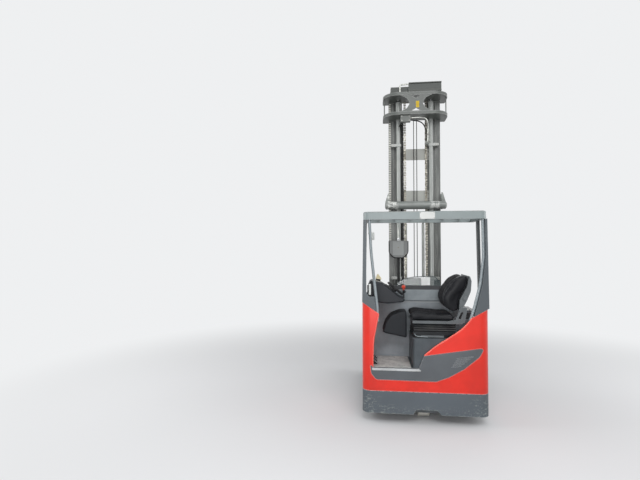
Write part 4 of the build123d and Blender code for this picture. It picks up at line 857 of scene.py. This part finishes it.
print("a block has", len(BLOCK_FACES), "faces")

# %% [markdown]
# ## The seat
# The cushions are soft goods, so they aren't drawn but inflated. Each starts as its solid from
# the frame, made a little smaller and remeshed into even squares. A short cloth simulation with
# pressure inside then lets it swell like foam under a cover. No point may move further than a
# cap, which keeps the cushion in the room that its solid holds. A last smoothing takes out the
# small puckers.

# %% Inflating a cushion
SIM_FRAMES = 18
SHRINK = 0.007
VOXEL = 0.009
CAP = 0.014
STUFFING = {
    "quality": 4, "mass": 0.4, "tension_stiffness": 12, "compression_stiffness": 12,
    "bending_stiffness": 2, "use_pressure": True, "uniform_pressure_force": 3.0,
}


def bake(piece):
    """The piece's modifiers become its own mesh."""
    bpy.context.view_layer.update()
    ready = piece.evaluated_get(bpy.context.evaluated_depsgraph_get())
    data = bpy.data.meshes.new_from_object(ready)
    piece.modifiers.clear()
    piece.data = data


def swollen(node):
    """A cushion's mesh: the node's solid, shrunk, remeshed and blown up by cloth simulation."""
    low, high = [Vector(corner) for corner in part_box(node)]
    centre = (low + high) / 2
    half = (high - low) / 2
    data = nodes[node].data.copy()
    for point in data.vertices:
        away = point.co - centre
        for axis in range(3):
            away[axis] *= (half[axis] - SHRINK) / half[axis]
        point.co = centre + away
    piece = bpy.data.objects.new(node + "_soft", data)
    bpy.context.scene.collection.objects.link(piece)
    remesh = piece.modifiers.new("even", "REMESH")
    remesh.mode = "VOXEL"
    remesh.voxel_size = VOXEL
    bake(piece)
    start = [point.co.copy() for point in piece.data.vertices]
    cloth = piece.modifiers.new("stuffing", "CLOTH").settings
    for key, value in STUFFING.items():
        setattr(cloth, key, value)
    cloth.effector_weights.gravity = 0
    for step in range(1, SIM_FRAMES + 1):
        bpy.context.scene.frame_set(step)
    bake(piece)
    bpy.context.scene.frame_set(1)
    for point, before in zip(piece.data.vertices, start):
        moved = point.co - before
        if moved.length > CAP:
            point.co = before + moved * (CAP / moved.length)
    relax = piece.modifiers.new("relax", "SMOOTH")
    relax.factor = 0.5
    relax.iterations = 8
    bake(piece)
    return piece


print("cushions swell for", SIM_FRAMES, "steps")

# %% [markdown]
# After the swelling come the seams. A sewn channel is a soft groove: points near its line sink
# by a smooth falloff. The seat's wearing surface is cloth between two vinyl bolsters, so each face
# takes its finish from where it lies. A last subdivision, as a modifier, keeps the swollen mesh
# light while it is worked on.

# %% Shaping and covering
SEAT_X = -125
SEAT_Y = 296
SEAT_Z = 860
ROW_DEPTH = 0.005
ROW_END = 0.01


def seat_place(x, y, z):
    """A place in the seat's own frame: back from its front edge, across it, and up."""
    return at(SEAT_X + x, SEAT_Y + y, SEAT_Z + z)


SEAT_MIDDLE = seat_place(0, 0, 0).y


def from_middle(co):
    """How far a point lies from the seat's middle line, in metres."""
    return abs(co.y - SEAT_MIDDLE)


def groove(piece, reach, depth, width):
    """Sinks points along the normal near the line where reach(point) is 0; metres."""
    piece.data.update()
    normals = [point.normal.copy() for point in piece.data.vertices]
    for point, normal in zip(piece.data.vertices, normals):
        near = math.exp(-((reach(point.co) / width) ** 2))
        point.co -= normal * depth * near


def quilt(piece, axis, rows, panel, row_width, seam_depth, seam_width):
    """Sewn rows across the cloth panel, each at its place on an axis, and a seam at each side."""
    for row in rows:
        groove(
            piece, lambda co: co[axis] - row if from_middle(co) < panel - ROW_END else 1,
            ROW_DEPTH, row_width
        )
    groove(piece, lambda co: from_middle(co) - panel, seam_depth, seam_width)


def cover(piece, panel):
    """Two finishes on one mesh: cloth on the panel, vinyl elsewhere."""
    piece.data.materials.clear()
    piece.data.materials.append(seat_vinyl)
    piece.data.materials.append(seat_cloth)
    for face in piece.data.polygons:
        face.material_index = int(from_middle(face.center) < panel)
        face.use_smooth = True
    smoother = piece.modifiers.new("smooth", "SUBSURF")
    smoother.levels = 1
    smoother.render_levels = 1


print("the seat stands at", [round(part, 3) for part in seat_place(0, 0, 0)])

# %% [markdown]
# The cushion's panel is sewn across in three rows, and a deeper seam parts it from the bolsters at
# its sides. The rows are places back from the seat's front edge. The finished cushion stands for
# its solid in the frame.

# %% The seat's cushion
CUSHION_PANEL = 0.135
cushion = swollen("seat_cushion")
rows = [seat_place(x, 0, 0).x for x in (120, 230, 340)]
quilt(cushion, 0, rows, CUSHION_PANEL, row_width=0.007, seam_depth=0.009, seam_width=0.011)
cover(cushion, CUSHION_PANEL)
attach(cushion, "chassis")
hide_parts("seat_cushion")
print("the cushion has", len(cushion.data.polygons), "faces")

# %% [markdown]
# The back is made in the same way, but its rows lie at three heights, and its panel is a little
# narrower than the cushion's.

# %% The seat's back
BACK_PANEL = 0.125
backrest = swollen("seat_back")
rows = [seat_place(0, 0, z).z for z in (360, 460, 550)]
quilt(backrest, 2, rows, BACK_PANEL, row_width=0.008, seam_depth=0.005, seam_width=0.009)
cover(backrest, BACK_PANEL)
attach(backrest, "chassis")
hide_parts("seat_back")
print("the back has", len(backrest.data.polygons), "faces")

# %% [markdown]
# On a sewn cover a round welt follows each edge, with a row of thread beside it. Both could be
# painted on, but real geometry catches the light where it should. Their corners are given on the
# drawing, cut smooth, and moved to the nearest point of the swollen surface, so that they lie on
# it however far it swelled.

# %% Piping and thread
WELT_RADIUS = 0.003
STITCH = 0.007
STITCH_GAP = 0.004
THREAD_HALF = 0.0011
THREAD_HIGH = 0.0012
CUT = 0.25


def on_surface(piece, places):
    """The nearest point of the swollen cover to each place, with its normal."""
    return [piece.closest_point_on_mesh(place)[1:3] for place in places]


def rounded(points, steps, closed=True):
    """A line of points, cut at its corners again and again so that it runs smoothly."""
    for _ in range(steps):
        following = points[1:] + points[:1] if closed else points[1:]
        cut = []
        for first, second in zip(points, following):
            cut += [first.lerp(second, CUT), first.lerp(second, 1 - CUT)]
        points = cut if closed else [points[0], *cut, points[-1]]
    return points


def piping(name, piece, loop, body):
    """A round welt that follows a closed loop on the cover."""
    spots = [spot + normal * WELT_RADIUS * 0.3 for spot, normal in on_surface(piece, loop)]
    return bar(name, spots, WELT_RADIUS, seat_vinyl, body, closed=True)


def add_stitch(mesh, one, two, normal):
    """One stitch of thread as a flat four-sided hump."""
    side = (two - one).normalized().cross(normal).normalized() * THREAD_HALF
    lift = normal * THREAD_HIGH
    low = [mesh.verts.new(spot) for spot in (one + side, two + side, two - side, one - side)]
    top = [mesh.verts.new(one.lerp(two, share) + lift) for share in (0.25, 0.75)]
    mesh.faces.new((low[0], low[1], top[1], top[0]))
    mesh.faces.new((low[2], low[3], top[0], top[1]))
    mesh.faces.new((low[1], low[2], top[1]))
    mesh.faces.new((low[3], low[0], top[0]))


def stitches(name, piece, loop, body):
    """A row of thread along a closed loop, its stitches laid on the cover."""
    mesh = bmesh.new()
    for first, second in zip(loop, loop[1:] + loop[:1]):
        count = max(int((second - first).length / (STITCH + STITCH_GAP)), 1)
        for index in range(count):
            places = [first.lerp(second, (index + share) / count) for share in (0.1, 0.75)]
            (one, normal), (two, _) = on_surface(piece, places)
            add_stitch(mesh, one, two, normal)
    return mesh_piece(name, mesh, seam_thread, body)


CUSHION_EDGE = [(12, 192), (-8, 215), (-8, 250), (60, 254), (200, 246), (440, 232), (436, 186)]
BACK_EDGE = [(432, 272), (360, 306), (322, 412), (364, 500), (418, 570), (472, 618), (540, 645),
             (574, 634), (556, 540), (484, 398)]
WELT_OUT = 196
THREAD_OUT = 186
for name, piece, table in (("cushion", cushion, CUSHION_EDGE), ("backrest", backrest, BACK_EDGE)):
    for word, side in (("near", -1), ("far", 1)):
        welt_loop = rounded([seat_place(x, side * WELT_OUT, z) for x, z in table], 2)
        piping(f"{name}_piping_{word}", piece, welt_loop, "chassis")
        thread_loop = rounded([seat_place(x, side * THREAD_OUT, z) for x, z in table], 2)
        stitches(f"{name}_thread_{word}", piece, thread_loop, "chassis")
print("the welts follow", len(CUSHION_EDGE) + len(BACK_EDGE), "corners a side")

# %% [markdown]
# Under the bellows a pale rail plate lies on the pedestal's edge, with the bent bar that releases
# the seat's slide in front of it. A plain block and a bar along five places are enough for what
# shows of them.

# %% Rail plate and release bar
slab("seat_rail_plate", (-30, 200), (83, 92), (865, 886), seat_plastic, "chassis", 2)
RELEASE_BAR = [(-92, 95, 900), (-97, 80, 896), (-84, 75, 880), (-40, 74, 873), (36, 74, 871)]
pipe("seat_release_bar", RELEASE_BAR, 4.5, bright_tube, "chassis", sides=3)
print("the release bar starts under the seat's front edge")

# %% [markdown]
# ## The cab
# The body's red panels end in rounded lips round the way in and along the grey insert. They are
# slim rolls that follow the same outline as the panel. Their red is painted paler than the body's,
# a painted highlight that draws the long highlight along them. A smooth curve would cut the
# outline's sharp corners, so a few more points hug each of them.

# %% Rolled lips on the red body
RIGHT_LIP = [(-6, 694), (92, 782), (222, 866), (361, 960), (420, 1022), (452, 1062), (466, 1082)]
LEFT_LIP = [(-526, 566), (-526, 640), (-522, 740), (-519, 838), (-492, 975), (-465, 1108)]
INSERT_LIP = [(-557, 591), (-551, 545), (-545.5, 497), (-535, 484), (-496, 436), (-470, 435.8),
              (90, 432), (110, 432), (127, 438), (218, 472), (236, 480), (252, 489), (372, 558),
              (386.5, 566.5), (402, 579), (528, 684), (536.5, 692), (545, 708)]
LIPS = {
    "right_lip": (RIGHT_LIP, 7, 7.5),
    "left_lip": (LEFT_LIP, 6, 6.5),
    "insert_lip": (INSERT_LIP, 2.6, 3),
}
# The lips' paler red is a painted highlight.
for name, (table, radius, depth) in LIPS.items():
    pipe(name, [(x, depth, z) for x, z in table], radius, highlight_lip_red, "chassis", sides=3)
print("lips drawn:", len(LIPS))

# %% [markdown]
# Plates that carry words on a real truck stay blank here. The guard's plate is worn white
# enamel held by four rivets, and the screen's label is plain paper.

# %% Blank plates
PLATE_FACE = 2.6
white_enamel = painted("white_enamel", rgb(226, 228, 226), rough=0.4, dust=0.1, scuff=0.45)
label_paper = moulded("label_paper", rgb(236, 238, 238), 0.6, 900.0, 0.05, dust=0.02)
slab("guard_plate", (-44, 107), (PLATE_FACE, 5), (2087, 2160), white_enamel, "chassis", 0.4)
rivets = [(x, PLATE_FACE, z) for x in (-36, 99) for z in (2096, 2151)]
fasteners("plate_rivets", rivets, REARWARD, 3, "chassis")
slab("screen_label", (27, 126), (573.2, 573.9), (1366, 1458), label_paper, "chassis", 0.2)
print("the guard's plate has", len(rivets), "rivets")

# %% [markdown]
# The clear screen has a polished rim, and the pedals have ribbed metal treads. Both are thin
# round bars, so both are pipes: the rim follows the screen's outline, and the ribs climb each
# tread in even steps.

# %% Screen rim and pedals
SCREEN_RIM = [(-245, 1364), (-245, 1384), (-225, 1400), (-160, 1436), (-110, 1449), (-52, 1460),
              (60, 1466), (131, 1469), (190, 1460), (218, 1420), (236, 1392), (236, 1364)]
screen_edge = moulded("screen_edge", rgb(74, 84, 86), 0.25, 900.0, 0.02, dust=0.1)
pipe("screen_rim", [(x, 577, z) for x, z in SCREEN_RIM], 4, screen_edge, "chassis", sides=2)
RIBS = 5
TREAD_X = -480
TREAD_Z = 566
TREAD_LENGTH = 70
TREAD_RISE = 52
for index, y in enumerate((150, 270, 390)):
    for rib in range(RIBS):
        share = (rib + 0.5) / RIBS
        x = TREAD_X - TREAD_LENGTH * share
        z = TREAD_Z + TREAD_RISE * share
        ends = [(x, y + 8, z + 2), (x, y + 72, z + 2)]
        pipe(f"pedal_rib_{index}_{rib}", ends, 3, strip_metal, "chassis", "POLY", 2)
print("pedals have", RIBS, "ribs each")

# %% [markdown]
# The console slopes towards the driver. Its display and keys are blocks that would be awkward to
# give in the truck's own directions. So one function turns places on the slope into places on the
# truck, and the common block helper does the rest. The display stays dark, the keys blank.

# %% Console fittings
CONSOLE_LEAN = math.radians(39.5)
CONSOLE_X = -306
CONSOLE_Z = 1318
KEYS = 6


def console_place(along, across, up):
    """A place on the console's sloping face: down the slope, across it, and out of it."""
    x = CONSOLE_X + along * math.cos(CONSOLE_LEAN) + up * math.sin(CONSOLE_LEAN)
    z = CONSOLE_Z - along * math.sin(CONSOLE_LEAN) + up * math.cos(CONSOLE_LEAN)
    return at(x, across, z)


def console_key(name, along, across, size, height, finish):
    """A small bevelled block about a place on the sloping face, sunk 1 mm into it."""
    length, width = size
    mesh = bmesh.new()
    x = (along - length / 2, along + length / 2)
    y = (across - width / 2, across + width / 2)
    add_block(mesh, x, y, (-1, height), console_place)
    return mesh_piece(name, mesh, finish, "chassis", 1.0)


display_glass = moulded("display_glass", rgb(22, 26, 30), 0.12, 900.0, 0.02, dust=0.05)
console_key("display_frame", -58, 480, (78, 60), 6, dark_plastic)
console_key("display_panel", -58, 480, (66, 48), 7, display_glass)
for index in range(KEYS):
    along = -10 + 16 * (index % 3)
    across = 470 + 20 * (index // 3)
    console_key(f"console_key_{index}", along, across, (11, 13), 5, seat_plastic)
print("console keys:", KEYS)

# %% [markdown]
# At the left there are a few small fittings: a clip board on its foot, a white sensor on the
# pillar, and a work lamp under the guard. The camera sees each of them only a few pixels wide, so
# an outline with some thickness, or a plain slab with rounded edges, is enough.

# %% The white fittings at the left
CLIP = [(-494, 1438), (-424, 1426), (-430, 1448), (-462, 1492), (-474, 1490)]
board_cream = moulded("board_cream", rgb(226, 214, 176), 0.6, 900.0, 0.05, dust=0.02)
solid("paper_clip_board", CLIP, 566, 572, "y", board_cream, "chassis", 1)
CLIP_FOOT = [(-488, 1363), (-440, 1363), (-436, 1427), (-490, 1437)]
solid("clip_board_foot", CLIP_FOOT, 570, 584, "y", dark_plastic, "chassis", 1.5)
slab("pillar_sensor", (-566, -544), (3, 9), (1306, 1418), lamp_white, "chassis", 3)
slab("pillar_sensor_base", (-571, -539), (6, 12), (1296, 1428), dark_plastic, "chassis", 3)
slab("roof_lamp_arm", (-575, -536), (572, 584), (1955, 1972), dark_plastic, "chassis", 2)
slab("roof_lamp", (-540, -505), (560, 590), (1886, 1975), lamp_white, "chassis", 5)
print("the clip board has", len(CLIP), "corners")

# %% [markdown]
# ## The mast
# Leaf chains lift the inner stages. Each is a long stack of thin plates on pins, three plates in
# one row and two in the next, so its edge looks like a brick wall. One mesh holds both chains.

# %% The parts of a chain
LINK = 31.75
CHAIN_BACK = 1051.4
CHAIN_FACE = 1046
PLATE_HALF = 2.6
PLATE_ROWS = ((-6, 6), (-11.5, 0, 11.5))
PLATE_BELOW = 8
PLATE_ABOVE = 5
PIN_HALF = 15.5
PIN_RADIUS = 2.5


def add_pin(mesh, x, y, z, radius, sides=8):
    """A short bar along X, added to a mesh."""
    rings = []
    for end in x:
        places = [at(end, y + radius * a, z + radius * b) for a, b in circle(sides)]
        rings.append([mesh.verts.new(place) for place in places])
    mesh.faces.new(rings[0])
    mesh.faces.new(reversed(rings[1]))
    bridge(mesh, rings[1], rings[0])


def leaf_chain(mesh, x, low, high):
    """Rows of plates on pins, from low to high."""
    for row in range(int((high - low) / LINK)):
        z = low + LINK * row
        for offset in PLATE_ROWS[row % 2]:
            thin = (x + offset - PLATE_HALF, x + offset + PLATE_HALF)
            tall = (z - PLATE_BELOW, z + LINK + PLATE_ABOVE)
            add_block(mesh, thin, (CHAIN_FACE, CHAIN_BACK), tall)
        add_pin(mesh, (x - PIN_HALF, x + PIN_HALF), (CHAIN_FACE + CHAIN_BACK) / 2, z, PIN_RADIUS)


print("a chain's links are", LINK, "mm long")

# %% [markdown]
# A chain's steel is pale on the plates. Its dark bands are painted shade in the gaps between
# them; the finish reads the height in links, so that they fall on the pins. The chains ride on the
# middle stage and stand for the plain strips of the frame.

# %% The two lift chains
bench = Bench("chain_links")
row = (bench.place()[2] / (LINK / 1000)).part()
# Dark bands at the pins: painted shade in the gaps between the plates.
gap_shade = row.step(0.86, 0.9).most(1 - row.step(0.06, 0.1))
oiled = bench.speckle(30.0, 5.0).step(0.4, 0.65)
plate = bench.blend(oiled, rgb(172, 168, 156), rgb(112, 106, 94))
linked = bench.blend(gap_shade, plate, rgb(34, 32, 30))
chain_links = bench.finish(Base_Color=linked, Roughness=(oiled * 0.3 + 0.3).kept(), Metallic=0.5)
mesh = bmesh.new()
for x in (-118, 144):
    leaf_chain(mesh, x, 460, 3700)
chains = mesh_piece("lift_chain_links", mesh, chain_links, "mast_middle")
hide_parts("lift_chains")
print("the chains have", len(chains.data.polygons), "faces")

# %% [markdown]
# Down the left rail runs a pale plastic chain that guards the cables. It could be modelled link
# by link with all its snaps, but at this distance a link is a block with a narrower joint below
# it, so two meshes hold the whole chain. The joints are given dark rubber, as painted shade
# between the links.

# %% Cable chain on the left rail
BEAD_PITCH = 23
BEAD_HEIGHT = 13.5
RAIL_FACE = 1039.6
bead_white = painted("bead_white", rgb(222, 222, 214), rough=0.35, dust=0.2, wear_and_edge_highlight=0.3, scuff=0.5)


def bead_rows(low, high):
    """The heights of the links between two heights."""
    return [low + BEAD_PITCH * row for row in range(int((high - low) / BEAD_PITCH))]


beads = bmesh.new()
shaded_joints = bmesh.new()
for z in bead_rows(1892, 3400) + bead_rows(3446, 3636):
    add_block(beads, (-318, -293), (1025, RAIL_FACE), (z, z + BEAD_HEIGHT))
    add_block(shaded_joints, (-312, -299), (1030, RAIL_FACE), (z + BEAD_HEIGHT, z + BEAD_PITCH))
mesh_piece("cable_chain", beads, bead_white, "mast_outer", 1.5)
# The dark joints are painted shade between the pale links.
mesh_piece("cable_chain_joints", shaded_joints, hose_rubber, "mast_outer", 1.5)
print("the cable chain has", len(bead_rows(1892, 3400)), "links below the yoke")

# %% [markdown]
# A corrugated conduit comes out under the hose box and bends forward between battery and mast. A
# smooth pipe with a bump would have a smooth outline, so rings of two sizes follow each other
# along a smooth curve, half a rib apart, and faces join them.

# %% Corrugated conduit
VALLEY = 0.86


def evenly(line, pitch):
    """The same line, given points a fixed distance apart, each with its direction."""
    spots = []
    left = 0.0
    for first, second in zip(line, line[1:]):
        run = (second - first).length
        while left < run:
            spots.append((first.lerp(second, left / run), (second - first).normalized()))
            left += pitch
        left -= run
    return spots


def corrugated(name, points, radius, pitch, finish, body, sides=14):
    """A ribbed conduit: rings of two sizes, one after the other, along a curve."""
    mesh = bmesh.new()
    last = None
    line = rounded([Vector(point) for point in points], 3, closed=False)
    for index, (spot, way) in enumerate(evenly(line, pitch / 2)):
        size = radius if index % 2 else radius * VALLEY
        turn = way.to_track_quat("Z", "Y")
        places = [spot + turn @ Vector((size * a, size * b, 0)) for a, b in circle(sides)]
        ring = [mesh.verts.new(at(*place)) for place in places]
        if last:
            bridge(mesh, last, ring)
        last = ring
    for face in mesh.faces:
        face.smooth = True
    return mesh_piece(name, mesh, finish, body)


CONDUIT = [(-209, 945, 1684), (-209, 945, 1500), (-209, 945, 1360), (-180, 945, 1270),
           (-146, 955, 1205), (-145, 1000, 1140), (-145, 1018, 1060), (-145, 1018, 900),
           (-145, 1018, 561)]
corrugated("mast_conduit", CONDUIT, radius=19, pitch=11, finish=hose_rubber, body="mast_outer")
glands = [
    ((-209, 945, 1682), DOWN, 25, 18, 18, 3),
    ((-145, 1018, 560), UP, 24, 16, 18, 3),
]
fittings("conduit_glands", glands, dark_plastic, "mast_outer")
print("the conduit bends through", len(CONDUIT), "points")

# %% [markdown]
# The grey box at the mast's left has a cover plate with one bolt, a rubber edging round its curved
# foot, and a pipe that rises from its top. The edging is a pipe along the outline of the box.

# %% The hose box
slab("hose_cover", (-279, -148), (897.6, 899.8), (1704, 1878), cover_grey, "mast_outer", 2)
BOX_EDGE = [(-325, 1878), (-325, 1800), (-325, 1738), (-300, 1700), (-262, 1673), (-209, 1672),
            (-158, 1673), (-120, 1700), (-95, 1738), (-95, 1800), (-95, 1878)]
pipe("box_edging", [(x, 908, z) for x, z in BOX_EDGE], 6, hose_rubber, "mast_outer", sides=3)
fasteners("box_bolt", [(-214, 897.6, 1800)], REARWARD, 6, "mast_outer")
nipples = [
    ((-209, 940, 1884.5), UP, 17, 22, 6, 2),
    ((-209, 940, 1905), UP, 12, 10, 14, 1),
]
fittings("box_fitting", nipples, rod_chrome, "mast_outer")
RISER = [(-209, 940, 1910), (-209, 940, 1975), (-208, 946, 2010), (-204, 966, 2040),
         (-201, 984, 2052)]
pipe("box_riser", RISER, 8, pipe_zinc, "mast_outer", sides=3)
print("the hose box is edged at", len(BOX_EDGE), "points")

# %% [markdown]
# At the mast's head a small valve box hangs under the yoke with a pipe to the right cylinder, and
# a bent pipe rises into the crosshead. Each pipe is a smooth curve through a few measured places,
# with nuts where it is screwed in. A blank yellow label sits on the yoke's web.

# %% Yoke and crosshead fittings
label_yellow = moulded("label_yellow", rgb(222, 186, 52), 0.5, 900.0, 0.05, dust=0.1)
slab("valve_box", (-185, -66), (786, 846), (3322, 3403.7), yoke_grey, "mast_outer", 4)
valve_bolts = [(x, 786, z) for x in (-170, -81) for z in (3338, 3388)]
fasteners("valve_bolts", valve_bolts, REARWARD, 5, "mast_outer")
VALVE_PIPE = [(-66, 816, 3372), (-20, 816, 3376), (60, 822, 3380), (120, 850, 3376),
              (152, 900, 3340), (158, 950, 3290), (158, 966, 3230), (158, 968, 3108)]
pipe("valve_pipe", VALVE_PIPE, 8, pipe_zinc, "mast_outer", sides=3)
SECOND_HOSE = [(-66, 830, 3352), (-30, 834, 3346), (40, 850, 3342), (96, 890, 3318),
               (130, 940, 3270), (138, 966, 3200), (138, 968, 3108)]
pipe("second_hose", SECOND_HOSE, 7, hose_rubber, "mast_outer", sides=3)
nuts = [
    ((-66, 816, 3372), RIGHTWARD, 12, 16, 6, 2),
    ((158, 968, 3122), DOWN, 12, 24, 6, 2),
    ((138, 968, 3122), DOWN, 10, 24, 6, 2),
    ((158, 966.5, 3210), DOWN, 12, 14, 6, 2),
]
fittings("valve_fittings", nuts, bolt_steel, "mast_outer")
slab("hose_block", (124, 170), (956, 990), (3078, 3106), yoke_grey, "mast_outer", 2)
VALVE_HOSE = [(-150, 846, 3350), (-150, 880, 3350), (-172, 930, 3335), (-190, 976, 3320)]
pipe("valve_hose", VALVE_HOSE, 8, hose_rubber, "mast_outer", sides=3)
BENT_RADIUS = 10
BENT_PIPE = [(-181, 952, 3685), (-181, 952, 3760), (-181, 952, 3818), (-168, 952, 3836),
             (-120, 950, 3837), (-70, 948, 3837)]
pipe("bent_pipe", BENT_PIPE, BENT_RADIUS, pipe_zinc, "mast_middle", sides=3)
slab("pipe_clip", (-194, -168), (952, 975.5), (3752, 3774), bolt_steel, "mast_middle", 2)
slab("yoke_label", (-3, 34), (764.9, 766), (3484, 3562), label_yellow, "mast_outer", 0.3)
print("the crosshead's pipe is", 2 * BENT_RADIUS, "mm thick")

# %% [markdown]
# Two thin hoses run down the middle of the mast, and two thicker ones beside the left chain. They
# stay straight between their fittings, so three places are enough for each.

# %% Straight hoses
HOSES = {
    "left_hose": (-10, 4.5), "right_hose": (27, 4.5),
    "lift_hose_a": (-165, 9), "lift_hose_b": (-145, 9),
}
for name, (x, radius) in HOSES.items():
    line = [(x, 1020, z) for z in (3404, 2000, 560)]
    pipe(name, line, radius, hose_rubber, "mast_outer", "POLY", 2)
print("hoses down the mast:", len(HOSES))

# %% [markdown]
# Bolts show where one part is fixed to another. They come in regular rows, so short loops over
# the drawing's numbers place them. Each group is one piece, and a table says which way its heads
# face, how large they are and what body carries them.

# %% Bolts on the mast and the carriage
SIDES = (-1, 1)
yoke_bolts = [(side * x, 892, 3676) for side in SIDES for x in (300, 345)]
clamp_bolts = [(side * x, 970, z) for side in SIDES for x in (255, 279) for z in (1420, 3080)]
tie_bolts = [(x, 1074, z) for x in (-178, 178) for z in (2420, 2480, 2950, 3010, 3680, 3740)]
carriage_bolts = [(x, 1000, z) for x in (-280, -220, 220, 280) for z in (100, 250, 400)]
leg_bolts = [(side * x, y, 298) for side in SIDES for x in (480, 605)
             for y in (1010, 1150, 1290, 1430)]
hood_bolts = [(side * 575, y, 1082.3) for side in SIDES for y in (640, 780, 920)]
BOLTS = {
    "yoke_bolts": (yoke_bolts, UP, 9, "mast_outer", pipe_zinc),
    "clamp_bolts": (clamp_bolts, REARWARD, 6, "mast_outer"),
    "tie_bolts": (tie_bolts, REARWARD, 6, "mast_inner"),
    "carriage_bolts": (carriage_bolts, REARWARD, 9, "mast_outer"),
    "leg_bolts": (leg_bolts, UP, 8, "chassis"),
    "hood_bolts": (hood_bolts, UP, 8, "chassis"),
}
for name, values in BOLTS.items():
    fasteners(name, *values)
print("bolts placed:", sum(len(values[0]) for values in BOLTS.values()))
